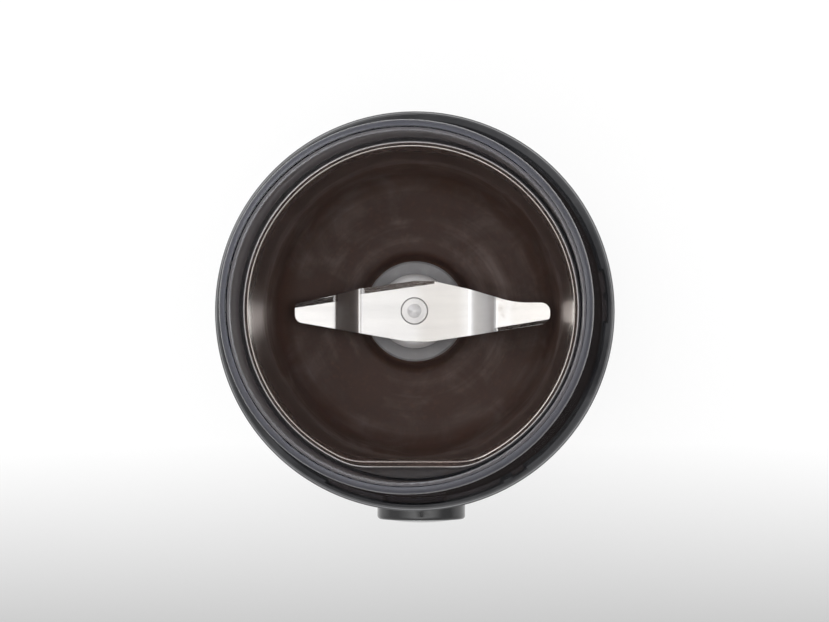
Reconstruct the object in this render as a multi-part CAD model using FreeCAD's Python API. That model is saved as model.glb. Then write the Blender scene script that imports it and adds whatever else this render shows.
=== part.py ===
"""Electric spice grinder: a clear lid over a steel grinding bowl, on a round motor housing with one front button.

Millimetres, +Z up. The origin is the centre of the resting plane, on the motor's axis, and the button faces -Y.
A flat wing blade turns just above the bowl's floor. Its shaft runs down through a brush motor to a cooling fan.
"""

import FreeCAD, Part
import math
import os

from FreeCAD import Vector

# Heights above the resting plane
SHOULDER_Z = 112.0  # top of the collar's rim, level with the blade's flat
SHELF_Z = 109.5  # the collar's shelf, where the lid stands
BOWL_RIM_Z = 141.0
LID_TOP_Z = 178.0
HOUSING_TOP_Z = 98.4
DECK_TOP_Z = 94.2  # the chassis deck, which carries the bowl and the motor
DECK_BOTTOM_Z = 91.5
BUTTON_Z = 50.0
CORD_Z = 14.0

# Outer casing
BODY_R = 44.5
BASE_R = 44.0
HOUSING_INNER_R = 42.1
BASE_UNDERSIDE_Z = 1.2
BASE_PLATE_Z = 4.2
COVER_PAD_Z = 7.8
COVER_R = 42.2
SEAM = 0.4
FOOT_INNER_R, FOOT_OUTER_R, FOOT_HEIGHT = 38.6, 41.6, 2.6

# Lid
LID_FOOT_R, LID_FOOT_WALL = 38.7, 1.7
LID_CROWN_R, LID_CROWN_WALL = 38.35, 1.55
LID_FLANGE_R = 41.7
LID_TOP_THICKNESS = 2.2
TONGUE_BOTTOM_Z = 103.0
LUG_ANGLES = (4.5, 184.5)
LUG_SPAN = 15.0
SKIRT_SPAN = 54.0  # the wide front part of the lid's flange
TONGUE_SPAN = 18.0
INDEX_ANGLE = -57.0
INDEX_SPAN = 4.0

# Grinding bowl: D-shaped at the rim, round at the blade
SHEET = 0.8
RIM_R = 34.9
RIM_FLAT = 32.5
RIM_CORNER_R = 13.0
RIM_BEAD, FLAT_BEAD = 1.05, 1.4  # the rim's thickness where it is round, and along its flat
WAIST_Z, WAIST_R = 118.0, 32.2
KNEE_Z, KNEE_R = 107.0, 31.0
FLOOR_Z = 100.8
BOSS_R, BOSS_Z = 11.6, 104.5
SEAL_HOLE_R = 6.2

# Blade
BLADE_TOP_Z = SHOULDER_Z
BLADE_SHEET = 1.2
LOW_ARM_DROP = 7.4
HIGH_ARM_RISE = 2.6
HUB_R = 8.3

# Motor
SHAFT_R = 2.5
SHAFT_BOTTOM_Z = 11.0
BUSH_CLEARANCE = 0.03
BUSH_R = 6.0
STACK_Z0, STACK_Z1 = 56.0, 76.0
STATOR_X, STATOR_Y = 54.0, 44.0
BORE_R = 14.4
ARMATURE_R = 13.9
POLE_HALF_WIDTH = 10.8
WINDOW_X, WINDOW_Y = 20.5, 17.2
SCREW_X, SCREW_Y = 23.2, 18.0
MOTOR_SCREW_R = 1.8
LOWER_BRACKET_Z0, LOWER_BRACKET_Z1 = 29.0, 33.0
UPPER_BRACKET_Z0, UPPER_BRACKET_Z1 = 84.0, 87.0
MOUNT_TOP_Z = 90.0
COMMUTATOR_R = 9.0
COMMUTATOR_Z0, COMMUTATOR_Z1 = 38.0, 48.0
FAN_R = 26.0
FAN_Z0, FAN_Z1 = 12.0, 20.0

# Button and interlock
BUTTON_R = 10.5
BUTTON_FRONT = 48.9  # distance of the button's rim from the axis
BUTTON_TRAVEL = 2.5
PANEL_FRONT, PANEL_BACK = 33.3, 31.8
INTERLOCK_Y = -36.5
INTERLOCK_GAP = 0.3

# Screws
COVER_SCREW_RING, COVER_SCREW_ANGLES = 34.5, (60.0, 180.0, 300.0)
COLLAR_SCREW_RING, COLLAR_SCREW_ANGLES = 37.0, (0.0, 120.0, 240.0)

ORIGIN = Vector(0, 0, 0)
UP = Vector(0, 0, 1)
BEVEL_LIMIT = 0.6  # corners of this size or less are bevelled, and larger ones are round


# Building blocks


def rounded_wire(corners, place):
    """A closed wire through corners (u, v) or (u, v, size). A size rounds that corner, or bevels it if it is small."""
    points = [place(corner[0], corner[1]) for corner in corners]
    radii = [corner[2] if len(corner) > 2 else 0.0 for corner in corners]
    joints = []
    for index, point in enumerate(points):
        if not radii[index]:
            joints.append((point, None, point))
            continue
        back = (points[index - 1] - point).normalize()
        onward = (points[(index + 1) % len(points)] - point).normalize()
        half = back.getAngle(onward) / 2
        trim = radii[index] / math.tan(half)
        bisector = (back + onward).normalize()
        middle = point + bisector * (radii[index] / math.sin(half) - radii[index])
        joints.append((point + back * trim, middle if radii[index] > BEVEL_LIMIT else None, point + onward * trim))
    edges = []
    for index, (start, middle, end) in enumerate(joints):
        if middle is not None:
            edges.append(Part.Arc(start, middle, end).toShape())
        elif radii[index]:
            edges.append(Part.LineSegment(start, end).toShape())
        following = joints[(index + 1) % len(joints)][0]
        if end.distanceToPoint(following) > 1e-6:
            edges.append(Part.LineSegment(end, following).toShape())
    return Part.Wire(edges)


def turned(corners):
    """The solid swept by an outline of (radius, height) corners turned round the motor's axis."""
    wire = rounded_wire(corners, lambda u, v: Vector(u, 0, v))
    return Part.Face(wire).revolve(ORIGIN, UP, 360)


def plate(corners, bottom, top):
    """A flat plate with an outline of (x, y) corners."""
    wire = rounded_wire(corners, lambda u, v: Vector(u, v, bottom))
    return Part.Face(wire).extrude(Vector(0, 0, top - bottom))


def ring(inner, outer, bottom, top):
    """A plain ring, or a disc where inner is nothing."""
    body = Part.makeCylinder(outer, top - bottom, Vector(0, 0, bottom))
    if not inner:
        return body
    return body.cut(Part.makeCylinder(inner, top - bottom, Vector(0, 0, bottom)))


def turned_part(corners, middle, span):
    """An outline of (radius, height) corners turned through span degrees, about the direction middle."""
    face = Part.Face(rounded_wire(corners, lambda u, v: Vector(u, 0, v)))
    piece = face.revolve(ORIGIN, UP, span)
    piece.rotate(ORIGIN, UP, middle - span / 2)
    return piece


def sector(inner, outer, bottom, top, middle, span):
    """A piece of a ring, span degrees wide, about the direction middle."""
    return turned_part([(inner, bottom), (outer, bottom), (outer, top), (inner, top)], middle, span)


def block(x_range, y_range, z_range):
    """A box between the given limits."""
    (x0, x1), (y0, y1), (z0, z1) = x_range, y_range, z_range
    return Part.makeBox(x1 - x0, y1 - y0, z1 - z0, Vector(x0, y0, z0))


def post(x, y, radius, bottom, top, bore=0.0):
    """An upright post, with a bore if one is given."""
    body = Part.makeCylinder(radius, top - bottom, Vector(x, y, bottom))
    if bore:
        body = body.cut(Part.makeCylinder(bore, top - bottom, Vector(x, y, bottom)))
    return body


def drum(radius, near, far, height):
    """A cylinder that lies along Y at the given height, between two values of y."""
    return Part.makeCylinder(radius, far - near, Vector(0, near, height), Vector(0, 1, 0))


def on_ring(radius, degrees):
    """The point at that radius and angle."""
    return radius * math.cos(math.radians(degrees)), radius * math.sin(math.radians(degrees))


def repeated(shape, count):
    """Copies of a shape spaced evenly round the motor's axis."""
    copies = []
    for index in range(count):
        copy = shape.copy()
        copy.rotate(ORIGIN, UP, 360.0 * index / count)
        copies.append(copy)
    return copies


def four_corners():
    """The places of the motor's four long screws."""
    return [(sx * SCREW_X, sy * SCREW_Y) for sx in (-1, 1) for sy in (-1, 1)]


def coil_spring(mean_radius, wire, start, axis, length, turns):
    """An open helical spring of square wire, as one unbroken winding."""
    helix = Part.makeHelix((length - wire) / turns, length - wire, mean_radius)
    half = wire / 2
    corners = [Vector(mean_radius + sx * half, 0, sz * half) for sx, sz in ((-1, -1), (1, -1), (1, 1), (-1, 1))]
    section = Part.makePolygon(corners + corners[:1])
    spring = Part.Wire(helix.Edges).makePipeShell([section], True, True)
    spring.translate(Vector(0, 0, half))
    spring.Placement = FreeCAD.Placement(start, FreeCAD.Rotation(UP, axis)).multiply(spring.Placement)
    return spring


def save(name, *shapes):
    """Writes one node's solids as a STEP file."""
    solids = [solid for shape in shapes for solid in shape.Solids]
    whole = solids[0] if len(solids) == 1 else Part.makeCompound(solids)
    if not whole.isValid():
        raise ValueError(f"{name} is not a valid solid")
    whole.exportStep(f"parts/{name}.step")


# Casing


def foot_ring():
    """The non-slip rubber ring that the grinder stands on."""
    edge = 0.6
    return turned(
        [
            (FOOT_INNER_R, 0, edge),
            (FOOT_OUTER_R, 0, edge),
            (FOOT_OUTER_R, FOOT_HEIGHT),
            (FOOT_INNER_R, FOOT_HEIGHT),
        ]
    )


def base_cover():
    """The plate that closes the housing from below, with its vents, screw wells and the cord's saddle."""
    spigot_inner, spigot_outer, spigot_top = 39.8, 41.4, 9.0
    well_r, well_top, pad_r, hole_r = 3.5, 5.6, 4.6, 1.7
    vent_count, vent_inner, vent_outer, vent_half = 16, 12.0, 27.0, 1.2
    cover = turned(
        [
            (0, BASE_UNDERSIDE_Z),
            (FOOT_INNER_R, BASE_UNDERSIDE_Z),
            (FOOT_INNER_R, FOOT_HEIGHT),
            (FOOT_OUTER_R, FOOT_HEIGHT),
            (FOOT_OUTER_R, BASE_UNDERSIDE_Z),
            (COVER_R, BASE_UNDERSIDE_Z),
            (COVER_R, BASE_PLATE_Z),
            (spigot_outer, BASE_PLATE_Z),
            (spigot_outer, spigot_top),
            (spigot_inner, spigot_top),
            (spigot_inner, BASE_PLATE_Z),
            (0, BASE_PLATE_Z),
        ]
    )
    slot = block((vent_inner, vent_outer), (-vent_half, vent_half), (BASE_UNDERSIDE_Z, BASE_PLATE_Z))
    for end in (vent_inner, vent_outer):
        slot = slot.fuse(post(end, 0, vent_half, BASE_UNDERSIDE_Z, BASE_PLATE_Z))
    slot.rotate(ORIGIN, UP, 180.0 / vent_count)
    cover = cover.cut(repeated(slot.removeSplitter(), vent_count))
    for angle in COVER_SCREW_ANGLES:
        x, y = on_ring(COVER_SCREW_RING, angle)
        cover = cover.fuse(post(x, y, pad_r, BASE_PLATE_Z, COVER_PAD_Z))
        cover = cover.cut(post(x, y, well_r, BASE_UNDERSIDE_Z, well_top))
        cover = cover.cut(post(x, y, hole_r, well_top, COVER_PAD_Z))
    cover = cover.cut(drum(BUSHING_FLANGE_R + 0.6, BUSHING_INNER_Y - 0.6, BODY_R, CORD_Z))
    cover = cover.fuse(cord_saddle())
    return cover.removeSplitter()


SADDLE_X, SADDLE_Y0, SADDLE_Y1 = 9.0, 28.6, 34.0
CORD_R = 3.4
CLAMP_SCREW_X, CLAMP_SCREW_R = 6.4, 1.3


def cord_saddle():
    """The block on the base cover that the cord lies on."""
    body = block((-SADDLE_X, SADDLE_X), (SADDLE_Y0, SADDLE_Y1), (BASE_PLATE_Z, CORD_Z - 0.6))
    body = body.cut(drum(CORD_R, SADDLE_Y0, SADDLE_Y1, CORD_Z))
    middle = (SADDLE_Y0 + SADDLE_Y1) / 2
    for side in (-1, 1):
        body = body.cut(post(side * CLAMP_SCREW_X, middle, CLAMP_SCREW_R, BASE_PLATE_Z + 1, CORD_Z))
    return body


def cord_clamp():
    """The bar that screws down over the cord."""
    bar_top = CORD_Z + 4.4
    body = block((-SADDLE_X, SADDLE_X), (SADDLE_Y0, SADDLE_Y1), (CORD_Z + 0.6, bar_top))
    body = body.cut(drum(CORD_R, SADDLE_Y0, SADDLE_Y1, CORD_Z))
    middle = (SADDLE_Y0 + SADDLE_Y1) / 2
    for side in (-1, 1):
        body = body.cut(post(side * CLAMP_SCREW_X, middle, CLAMP_SCREW_R, CORD_Z, bar_top))
    return body


def pan_screw(x, y, shank_r, head_r, head_height, seat, tip, upward=True):
    """A pan-head screw with a cross recess. Its head lies below seat if upward, and above it otherwise."""
    way = 1 if upward else -1
    shank = post(x, y, shank_r, min(seat, tip), max(seat, tip))
    head = post(x, y, head_r, min(seat, seat - way * head_height), max(seat, seat - way * head_height))
    face = seat - way * head_height
    depth, arm, half = head_height * 0.5, head_r * 0.6, head_r * 0.14
    low, high = sorted((face, face + way * depth))
    cross = block((x - arm, x + arm), (y - half, y + half), (low, high))
    cross = cross.fuse(block((x - half, x + half), (y - arm, y + arm), (low, high)))
    return shank.fuse(head).cut(cross).removeSplitter()


def clamp_screws():
    """The two screws that draw the clamp down on the saddle."""
    middle = (SADDLE_Y0 + SADDLE_Y1) / 2
    seat, tip = CORD_Z + 4.4, BASE_PLATE_Z + 1.5
    return [pan_screw(side * CLAMP_SCREW_X, middle, CLAMP_SCREW_R, 2.4, 1.8, seat, tip, False) for side in (-1, 1)]


def cover_screws():
    """The three screws that hold the base cover, deep in their wells."""
    seat, tip = 5.6, 20.0
    return [pan_screw(*on_ring(COVER_SCREW_RING, a), 1.5, 3.0, 2.2, seat, tip) for a in COVER_SCREW_ANGLES]


def housing():
    """The round outer shell, with screw bosses, a ledge for the chassis, and holes for the button and the cord."""
    cover_rebate_r, cover_rebate_z, lower_inner_r = 42.4, 4.4, 41.7
    ledge_r, ledge_z = 40.3, 89.5
    shell = turned(
        [
            (BASE_R, BASE_UNDERSIDE_Z, 0.6),
            (BODY_R, HOUSING_TOP_Z, 0.4),
            (HOUSING_INNER_R, HOUSING_TOP_Z),
            (HOUSING_INNER_R, DECK_BOTTOM_Z),
            (ledge_r, DECK_BOTTOM_Z),
            (ledge_r, ledge_z),
            (HOUSING_INNER_R - 0.1, ledge_z - 1.7),
            (lower_inner_r, cover_rebate_z),
            (cover_rebate_r, cover_rebate_z),
            (cover_rebate_r, BASE_UNDERSIDE_Z),
        ]
    )
    boss_r, boss_bottom, boss_top, rib_half = 3.6, COVER_PAD_Z, 26.0, 1.0
    bore = ring(0, lower_inner_r + 0.3, 0, SHOULDER_Z)
    for angle in COVER_SCREW_ANGLES:
        rib_bottom = 9.2
        rib = block((COVER_SCREW_RING, BODY_R), (-rib_half, rib_half), (rib_bottom, boss_top))
        rib.rotate(ORIGIN, UP, angle)
        boss = post(*on_ring(COVER_SCREW_RING, angle), boss_r, boss_bottom, boss_top)
        shell = shell.fuse(boss.fuse(rib.common(bore)))
        shell = shell.cut(post(*on_ring(COVER_SCREW_RING, angle), 1.5, boss_bottom, 20.0))
    shell = shell.cut(drum(BUTTON_R + 0.35, -BODY_R - 1, -30, BUTTON_Z))
    shell = shell.cut(drum(BUSHING_NECK_R, 30, BODY_R + 1, CORD_Z))
    shell = shell.cut(drum(BUSHING_FLANGE_R + 0.1, BUSHING_SEAT_Y, BODY_R + 1, CORD_Z))
    return shell.removeSplitter()


BUSHING_NECK_R, BUSHING_FLANGE_R, BUSHING_BORE_R = 5.6, 7.4, 3.5
BUSHING_SEAT_Y = 43.2
BUSHING_OUTER_Y, BUSHING_INNER_Y = 46.4, 38.8


def cord_bushing():
    """The rubber bushing in the back wall that the mains cord passes through."""
    outer = drum(BUSHING_FLANGE_R, BUSHING_SEAT_Y, BUSHING_OUTER_Y, CORD_Z)
    rim = [e for e in outer.Edges if abs(e.CenterOfMass.y - BUSHING_OUTER_Y) < 0.01]
    outer = outer.makeFillet(1.2, rim)
    neck = drum(BUSHING_NECK_R, 40.8, BUSHING_SEAT_Y, CORD_Z)
    inner = drum(BUSHING_FLANGE_R, BUSHING_INNER_Y, 40.8, CORD_Z)
    whole = outer.fuse([neck, inner]).cut(drum(BUSHING_BORE_R, BUSHING_INNER_Y, BUSHING_OUTER_Y, CORD_Z))
    return whole.removeSplitter()


def collar():
    """The black ring on top of the housing: a raised rim, the lid's shelf, and a pocket for the interlock."""
    spigot_inner, spigot_outer, shelf_underside, mouth_r, rim_inner = 40.4, 42.0, 107.0, 34.0, 42.2
    body = turned(
        [
            (BODY_R, HOUSING_TOP_Z + SEAM, 0.4),
            (BODY_R, SHOULDER_Z, 0.8),
            (rim_inner, SHOULDER_Z, 0.4),
            (rim_inner, SHELF_Z),
            (mouth_r, SHELF_Z),
            (mouth_r, shelf_underside),
            (spigot_inner, shelf_underside),
            (spigot_inner, DECK_TOP_Z),
            (spigot_outer, DECK_TOP_Z),
            (spigot_outer, HOUSING_TOP_Z + SEAM),
        ]
    )
    for angle in COLLAR_SCREW_ANGLES:
        boss = post(*on_ring(COLLAR_SCREW_RING, angle), 2.9, DECK_TOP_Z, shelf_underside)
        body = body.fuse(boss).cut(post(*on_ring(COLLAR_SCREW_RING, angle), 1.3, DECK_TOP_Z, DECK_TOP_Z + 9))
    notch_r, slot_inner, pocket_r, pocket_half = 43.1, 40.9, 43.0, 7.4
    for angle in LUG_ANGLES:
        body = body.cut(sector(slot_inner, notch_r, SHELF_Z, SHOULDER_Z + 1, angle, LUG_SPAN + 1.2))
    body = body.cut(sector(slot_inner, notch_r, SHELF_Z, SHOULDER_Z + 1, INDEX_ANGLE, INDEX_SPAN + 1.2))
    body = body.cut(sector(slot_inner, notch_r, SHELF_Z, SHOULDER_Z + 1, -90, SKIRT_SPAN + 1.2))
    body = body.cut(sector(slot_inner, notch_r, shelf_underside - 1, SHOULDER_Z + 1, -90, TONGUE_SPAN + 1.4))
    pocket = block((-pocket_half, pocket_half), (-BODY_R, -30), (DECK_TOP_Z, shelf_underside))
    body = body.cut(pocket.common(ring(0, pocket_r, DECK_TOP_Z, shelf_underside)))
    return body.removeSplitter()


def collar_screws():
    """Three screws that come up through the chassis deck into the collar."""
    seat, tip = DECK_BOTTOM_Z, DECK_TOP_Z + 8
    return [pan_screw(*on_ring(COLLAR_SCREW_RING, a), 1.3, 2.5, 1.8, seat, tip) for a in COLLAR_SCREW_ANGLES]


def lid():
    """The clear cap: a deep drum with a round-edged top, a foot flange, two lugs, an index rib and a tongue."""
    crown_round, inner_round, foot = 1.5, 0.8, 2.2
    inner_foot_r, inner_crown_r = LID_FOOT_R - LID_FOOT_WALL, LID_CROWN_R - LID_CROWN_WALL
    flange_top = SHELF_Z + foot
    body = turned(
        [
            (inner_foot_r, SHELF_Z, 0.3),
            (LID_FLANGE_R, SHELF_Z, 0.3),
            (LID_FLANGE_R, flange_top, 0.5),
            (LID_FOOT_R, flange_top, 0.6),
            (LID_CROWN_R, LID_TOP_Z, crown_round),
            (0, LID_TOP_Z),
            (0, LID_TOP_Z - LID_TOP_THICKNESS),
            (inner_crown_r, LID_TOP_Z - LID_TOP_THICKNESS, inner_round),
        ]
    )
    lug_r, tongue_inner, root_r, detent_r = 42.7, 41.2, 40.0, 0.9
    bottom, top = SHELF_Z + 0.3, flange_top - 0.5
    for angle in LUG_ANGLES:
        body = body.fuse(sector(root_r, lug_r, bottom, top, angle, LUG_SPAN))
        body = body.cut(post(*on_ring(lug_r + 0.2, angle), detent_r, SHELF_Z, flange_top))
    body = body.fuse(sector(root_r, lug_r, bottom, top, INDEX_ANGLE, INDEX_SPAN))
    skirt = sector(root_r, lug_r, bottom, top, -90, SKIRT_SPAN)
    upright = [e for e in skirt.Edges if e.BoundBox.ZLength > 1]
    ends = [e for e in upright if math.hypot(e.CenterOfMass.x, e.CenterOfMass.y) > lug_r - 0.1]
    body = body.fuse(skirt.makeFillet(0.9, ends))
    body = body.fuse(sector(tongue_inner, lug_r, TONGUE_BOTTOM_Z, top, -90, TONGUE_SPAN))
    return body.removeSplitter()


# Grinding chamber


def d_wire(radius, flat, corner, height):
    """A circle with one flat at y = -flat, its two corners rounded, cut into six edges."""
    across = math.sqrt((radius - corner) ** 2 - (flat - corner) ** 2)
    turn = math.atan2(flat - corner, across)  # how far below the X axis the round corners start
    start, end = -turn, math.pi + turn

    def at(angle):
        return Vector(radius * math.cos(angle), radius * math.sin(angle), height)

    def corner_at(side, angle):
        centre = Vector(side * across, -(flat - corner), height)
        return centre + Vector(corner * math.cos(angle), corner * math.sin(angle), 0)

    edges = []
    steps = 3
    for index in range(steps):
        a, b = (start + (end - start) * k / steps for k in (index, index + 1))
        edges.append(Part.Arc(at(a), at((a + b) / 2), at(b)).toShape())
    left, right = -math.pi / 2, math.pi + turn
    edges.append(Part.Arc(at(right), corner_at(-1, (right + 1.5 * math.pi) / 2), corner_at(-1, 1.5 * math.pi)).toShape())
    edges.append(Part.LineSegment(corner_at(-1, 1.5 * math.pi), corner_at(1, left)).toShape())
    edges.append(Part.Arc(corner_at(1, left), corner_at(1, (left + start) / 2), at(start)).toShape())
    return Part.Wire(edges)


def round_wire(radius, like, height):
    """A circle cut into six edges at the same directions as the corners of a D-shaped wire."""
    angles = [math.atan2(v.Point.y, v.Point.x) for v in like.OrderedVertexes]
    edges = []
    for index, a in enumerate(angles):
        b = angles[(index + 1) % len(angles)]
        while b < a:
            b += 2 * math.pi
        spots = [Vector(radius * math.cos(t), radius * math.sin(t), height) for t in (a, (a + b) / 2, b)]
        edges.append(Part.Arc(*spots).toShape())
    return Part.Wire(edges)


def bowl_flank(grow):
    """The bowl's upper part, grown outwards by a wall: D-shaped at the rim, round at the waist."""
    upper = d_wire(RIM_R + grow, RIM_FLAT + grow, RIM_CORNER_R + grow, BOWL_RIM_Z)
    lower = round_wire(WAIST_R + grow, upper, WAIST_Z)
    return Part.makeLoft([lower, upper], True, True)


def rim_prism(bottom, top):
    """An upright prism of the rim's outer edge."""
    wire = d_wire(RIM_R + RIM_BEAD, RIM_FLAT + FLAT_BEAD, RIM_CORNER_R + RIM_BEAD, bottom)
    return Part.Face(wire).extrude(Vector(0, 0, top - bottom))


def grinding_bowl():
    """The deep-drawn steel bowl, with a beaded rim, a round floor edge and a raised boss round the shaft."""
    floor_round, boss_foot = 6.5, 1.4
    outer = KNEE_R + SHEET
    cup = turned(
        [
            (WAIST_R, WAIST_Z),
            (KNEE_R, KNEE_Z),
            (KNEE_R - 0.3, FLOOR_Z, floor_round),
            (BOSS_R + boss_foot, FLOOR_Z, 1.5),
            (BOSS_R, BOSS_Z, 1.0),
            (SEAL_HOLE_R, BOSS_Z),
            (SEAL_HOLE_R, BOSS_Z - SHEET),
            (BOSS_R - SHEET, BOSS_Z - SHEET),
            (BOSS_R + boss_foot - SHEET, FLOOR_Z - SHEET, 1.0),
            (outer - 0.3, FLOOR_Z - SHEET, floor_round + SHEET),
            (outer, KNEE_Z),
            (WAIST_R + SHEET, WAIST_Z),
        ]
    )
    flank = bowl_flank(SHEET).cut(bowl_flank(0))
    bead_height, bead_round = 1.6, 0.3
    bead = rim_prism(BOWL_RIM_Z - bead_height, BOWL_RIM_Z).cut(bowl_flank(0))
    bowl = cup.fuse([flank, bead]).removeSplitter()
    rim_edges = [e for e in bowl.Edges if abs(e.BoundBox.ZMin - BOWL_RIM_Z) < 1e-6]
    return bowl.makeFillet(bead_round, rim_edges)


def bowl_gasket():
    """The rubber ring that seals the bowl in the collar's mouth."""
    bottom, groove, outer, lip = 106.0, 33.9, 35.2, SHELF_Z + 0.8
    taper = (WAIST_R - KNEE_R) / (WAIST_Z - KNEE_Z)
    inner = KNEE_R + SHEET + 0.05
    return turned(
        [
            (inner, bottom),
            (groove, bottom),
            (groove, SHELF_Z),
            (outer, SHELF_Z),
            (outer, lip, 0.4),
            (inner + taper * (lip - KNEE_Z), lip),
            (inner, KNEE_Z),
        ]
    )


def bowl_neck():
    """The black sleeve that stands on the collar's shelf and covers the bowl's outside up to its beaded rim."""
    inner, outer, mouth, top, lip = 35.3, 36.3, 35.65, 139.25, 1.35
    sleeve = turned([(inner, SHELF_Z), (outer, SHELF_Z), (outer, top, 0.3), (mouth, top), (inner, top - 3.25)])
    clearance = SHEET + 0.15
    hole = Part.Face(d_wire(mouth, RIM_FLAT + clearance, RIM_CORNER_R + SHEET, top - lip))
    web = ring(0, outer - 0.4, top - lip, top).cut(hole.extrude(UP * lip))
    return sleeve.fuse(web).removeSplitter()


def shaft_seal():
    """The grey silicone washer on the bowl's boss, which wipes the shaft."""
    neck_bottom, top = 102.8, BOSS_Z + 1.1
    bore = SHAFT_R + 0.05
    return turned(
        [
            (bore, neck_bottom),
            (SEAL_HOLE_R - 0.05, neck_bottom),
            (SEAL_HOLE_R - 0.05, BOSS_Z),
            (BOSS_R - 0.4, BOSS_Z),
            (BOSS_R - 0.4, top, 0.4),
            (bore, top),
        ]
    )


# Rotor: everything that turns with the shaft


def blade_outline():
    """The blade's plan: a long lozenge whose arms narrow to round tips."""
    return [
        (-27.0, 1.7, 0.4),
        (-27.0, -2.3, 1.8),
        (-2.0, -6.7, 8.0),
        (3.4, -6.8, 8.0),
        (12.3, -5.5, 30.0),
        (30.1, -2.7, 2.2),
        (30.1, 1.8, 2.0),
        (22.2, 1.8, 20.0),
        (12.3, 4.8, 10.0),
        (4.3, 6.6, 1.5),
        (0.0, 6.7, 3.0),
        (-11.9, 5.0, 20.0),
    ]


def blade_profile():
    """The blade's side view: a flat middle, one arm stepped down and the other stepped up."""
    low_step, low_foot, high_step, high_foot = -12.0, -17.8, 12.4, 18.0
    low = BLADE_TOP_Z - LOW_ARM_DROP
    high = BLADE_TOP_Z + HIGH_ARM_RISE
    reach = 32.0
    thick = BLADE_SHEET
    skew_low = thick * 0.55  # keeps the steep step as thick as the sheet
    skew_high = thick * 0.22
    return [
        (-reach, low),
        (low_foot, low, 1.2),
        (low_step, BLADE_TOP_Z, 1.8),
        (high_step, BLADE_TOP_Z, 2.0),
        (high_foot, high, 2.0),
        (reach, high),
        (reach, high - thick),
        (high_foot + skew_high, high - thick, 2.0),
        (high_step + skew_high, BLADE_TOP_Z - thick, 2.0),
        (low_step + skew_low, BLADE_TOP_Z - thick, 1.2),
        (low_foot + skew_low, low - thick, 1.8),
        (-reach, low - thick),
    ]


def cutting_bevel(edge_from, edge_to, inward, top, depth):
    """A long wedge that grinds the blade's top edge, from one plan point to another, as wide as inward."""
    start = Vector(edge_from[0], edge_from[1], top)
    along = Vector(edge_to[0], edge_to[1], top) - start
    side = Vector(inward[0], inward[1], 0)
    corners = [start + side, start - side, start - side - UP * depth, start - UP * depth]
    return Part.Face(Part.makePolygon(corners + corners[:1])).extrude(along)


def blade():
    """The stamped steel blade: a bent strip trimmed to its plan, with ground cutting edges and a rivet hole."""
    side = rounded_wire(blade_profile(), lambda u, v: Vector(u, -10, v))
    strip = Part.Face(side).extrude(Vector(0, 20, 0))
    plan = plate(blade_outline(), BLADE_TOP_Z - 12, BLADE_TOP_Z + 8)
    body = strip.common(plan)
    middle_wedge = cutting_bevel((-11.2, 5.1), (4.3, 7.3), (0.2, -1.25), BLADE_TOP_Z, 0.7)
    low_wedge = cutting_bevel((-28.0, 1.9), (-18.2, 3.4), (0.1, -1.25), BLADE_TOP_Z - LOW_ARM_DROP, 0.7)
    high_wedge = cutting_bevel((31.0, -2.5), (18.6, -4.5), (-0.1, 0.8), BLADE_TOP_Z + HIGH_ARM_RISE, 0.6)
    body = body.cut([middle_wedge, low_wedge, high_wedge])
    return body.cut(post(0, 0, RIVET_R, BLADE_TOP_Z - 3, BLADE_TOP_Z + 1))


RIVET_R, RIVET_HEAD_R, RIVET_HEAD = 2.0, 2.9, 0.35


def shaft():
    """The steel shaft, from the fan up through the motor and bowl, headed over on top of the blade."""
    shoulder = BLADE_TOP_Z - BLADE_SHEET
    dimple = 1.6
    return turned(
        [
            (0, SHAFT_BOTTOM_Z),
            (SHAFT_R - 0.4, SHAFT_BOTTOM_Z),
            (SHAFT_R, SHAFT_BOTTOM_Z + 0.4),
            (SHAFT_R, shoulder),
            (RIVET_R, shoulder),
            (RIVET_R, BLADE_TOP_Z),
            (RIVET_HEAD_R, BLADE_TOP_Z),
            (RIVET_HEAD_R, BLADE_TOP_Z + RIVET_HEAD, 0.15),
            (dimple, BLADE_TOP_Z + RIVET_HEAD + 0.15),
            (0, BLADE_TOP_Z + RIVET_HEAD + 0.75),
        ]
    )


def blade_hub():
    """The bright collar under the blade, which covers the seal like a cap."""
    bottom, disc_top, neck_r = BOSS_Z + 1.4, 109.2, 5.4
    return turned(
        [
            (SHAFT_R, bottom),
            (HUB_R, bottom, 0.3),
            (HUB_R, disc_top, 1.5),
            (neck_r, disc_top, 0.6),
            (neck_r, BLADE_TOP_Z - BLADE_SHEET),
            (SHAFT_R, BLADE_TOP_Z - BLADE_SHEET),
        ]
    )


def armature_core():
    """The armature's laminated stack, with its winding slots."""
    slot_count, slot_half, slot_floor = 10, 0.9, 9.2
    core = ring(SHAFT_R, ARMATURE_R, STACK_Z0, STACK_Z1)
    slot = block((slot_floor, ARMATURE_R + 1), (-slot_half, slot_half), (STACK_Z0, STACK_Z1))
    return core.cut(repeated(slot, slot_count))


def armature_winding():
    """The domed end windings above and below the stack."""
    inner, swell, neck = 4.2, 12.4, 8.0
    ends = []
    for face, reach in ((STACK_Z1, 6.2), (STACK_Z0, -6.2)):
        corners = [(inner, face), (swell, face), (swell, face + reach * 0.5), (neck, face + reach), (inner, face + reach)]
        ends.append(turned(corners))
    return ends


def commutator():
    """The copper commutator, cut into bars."""
    bars, cut_half, cut_depth, riser_r, riser = 10, 0.3, 0.9, 10.2, 1.4
    body = turned(
        [
            (SHAFT_R, COMMUTATOR_Z0),
            (COMMUTATOR_R, COMMUTATOR_Z0),
            (COMMUTATOR_R, COMMUTATOR_Z1 - riser),
            (riser_r, COMMUTATOR_Z1 - riser),
            (riser_r, COMMUTATOR_Z1),
            (SHAFT_R, COMMUTATOR_Z1),
        ]
    )
    cut = block((COMMUTATOR_R - cut_depth, riser_r + 1), (-cut_half, cut_half), (COMMUTATOR_Z0, COMMUTATOR_Z1))
    return body.cut(repeated(cut, bars))


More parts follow.
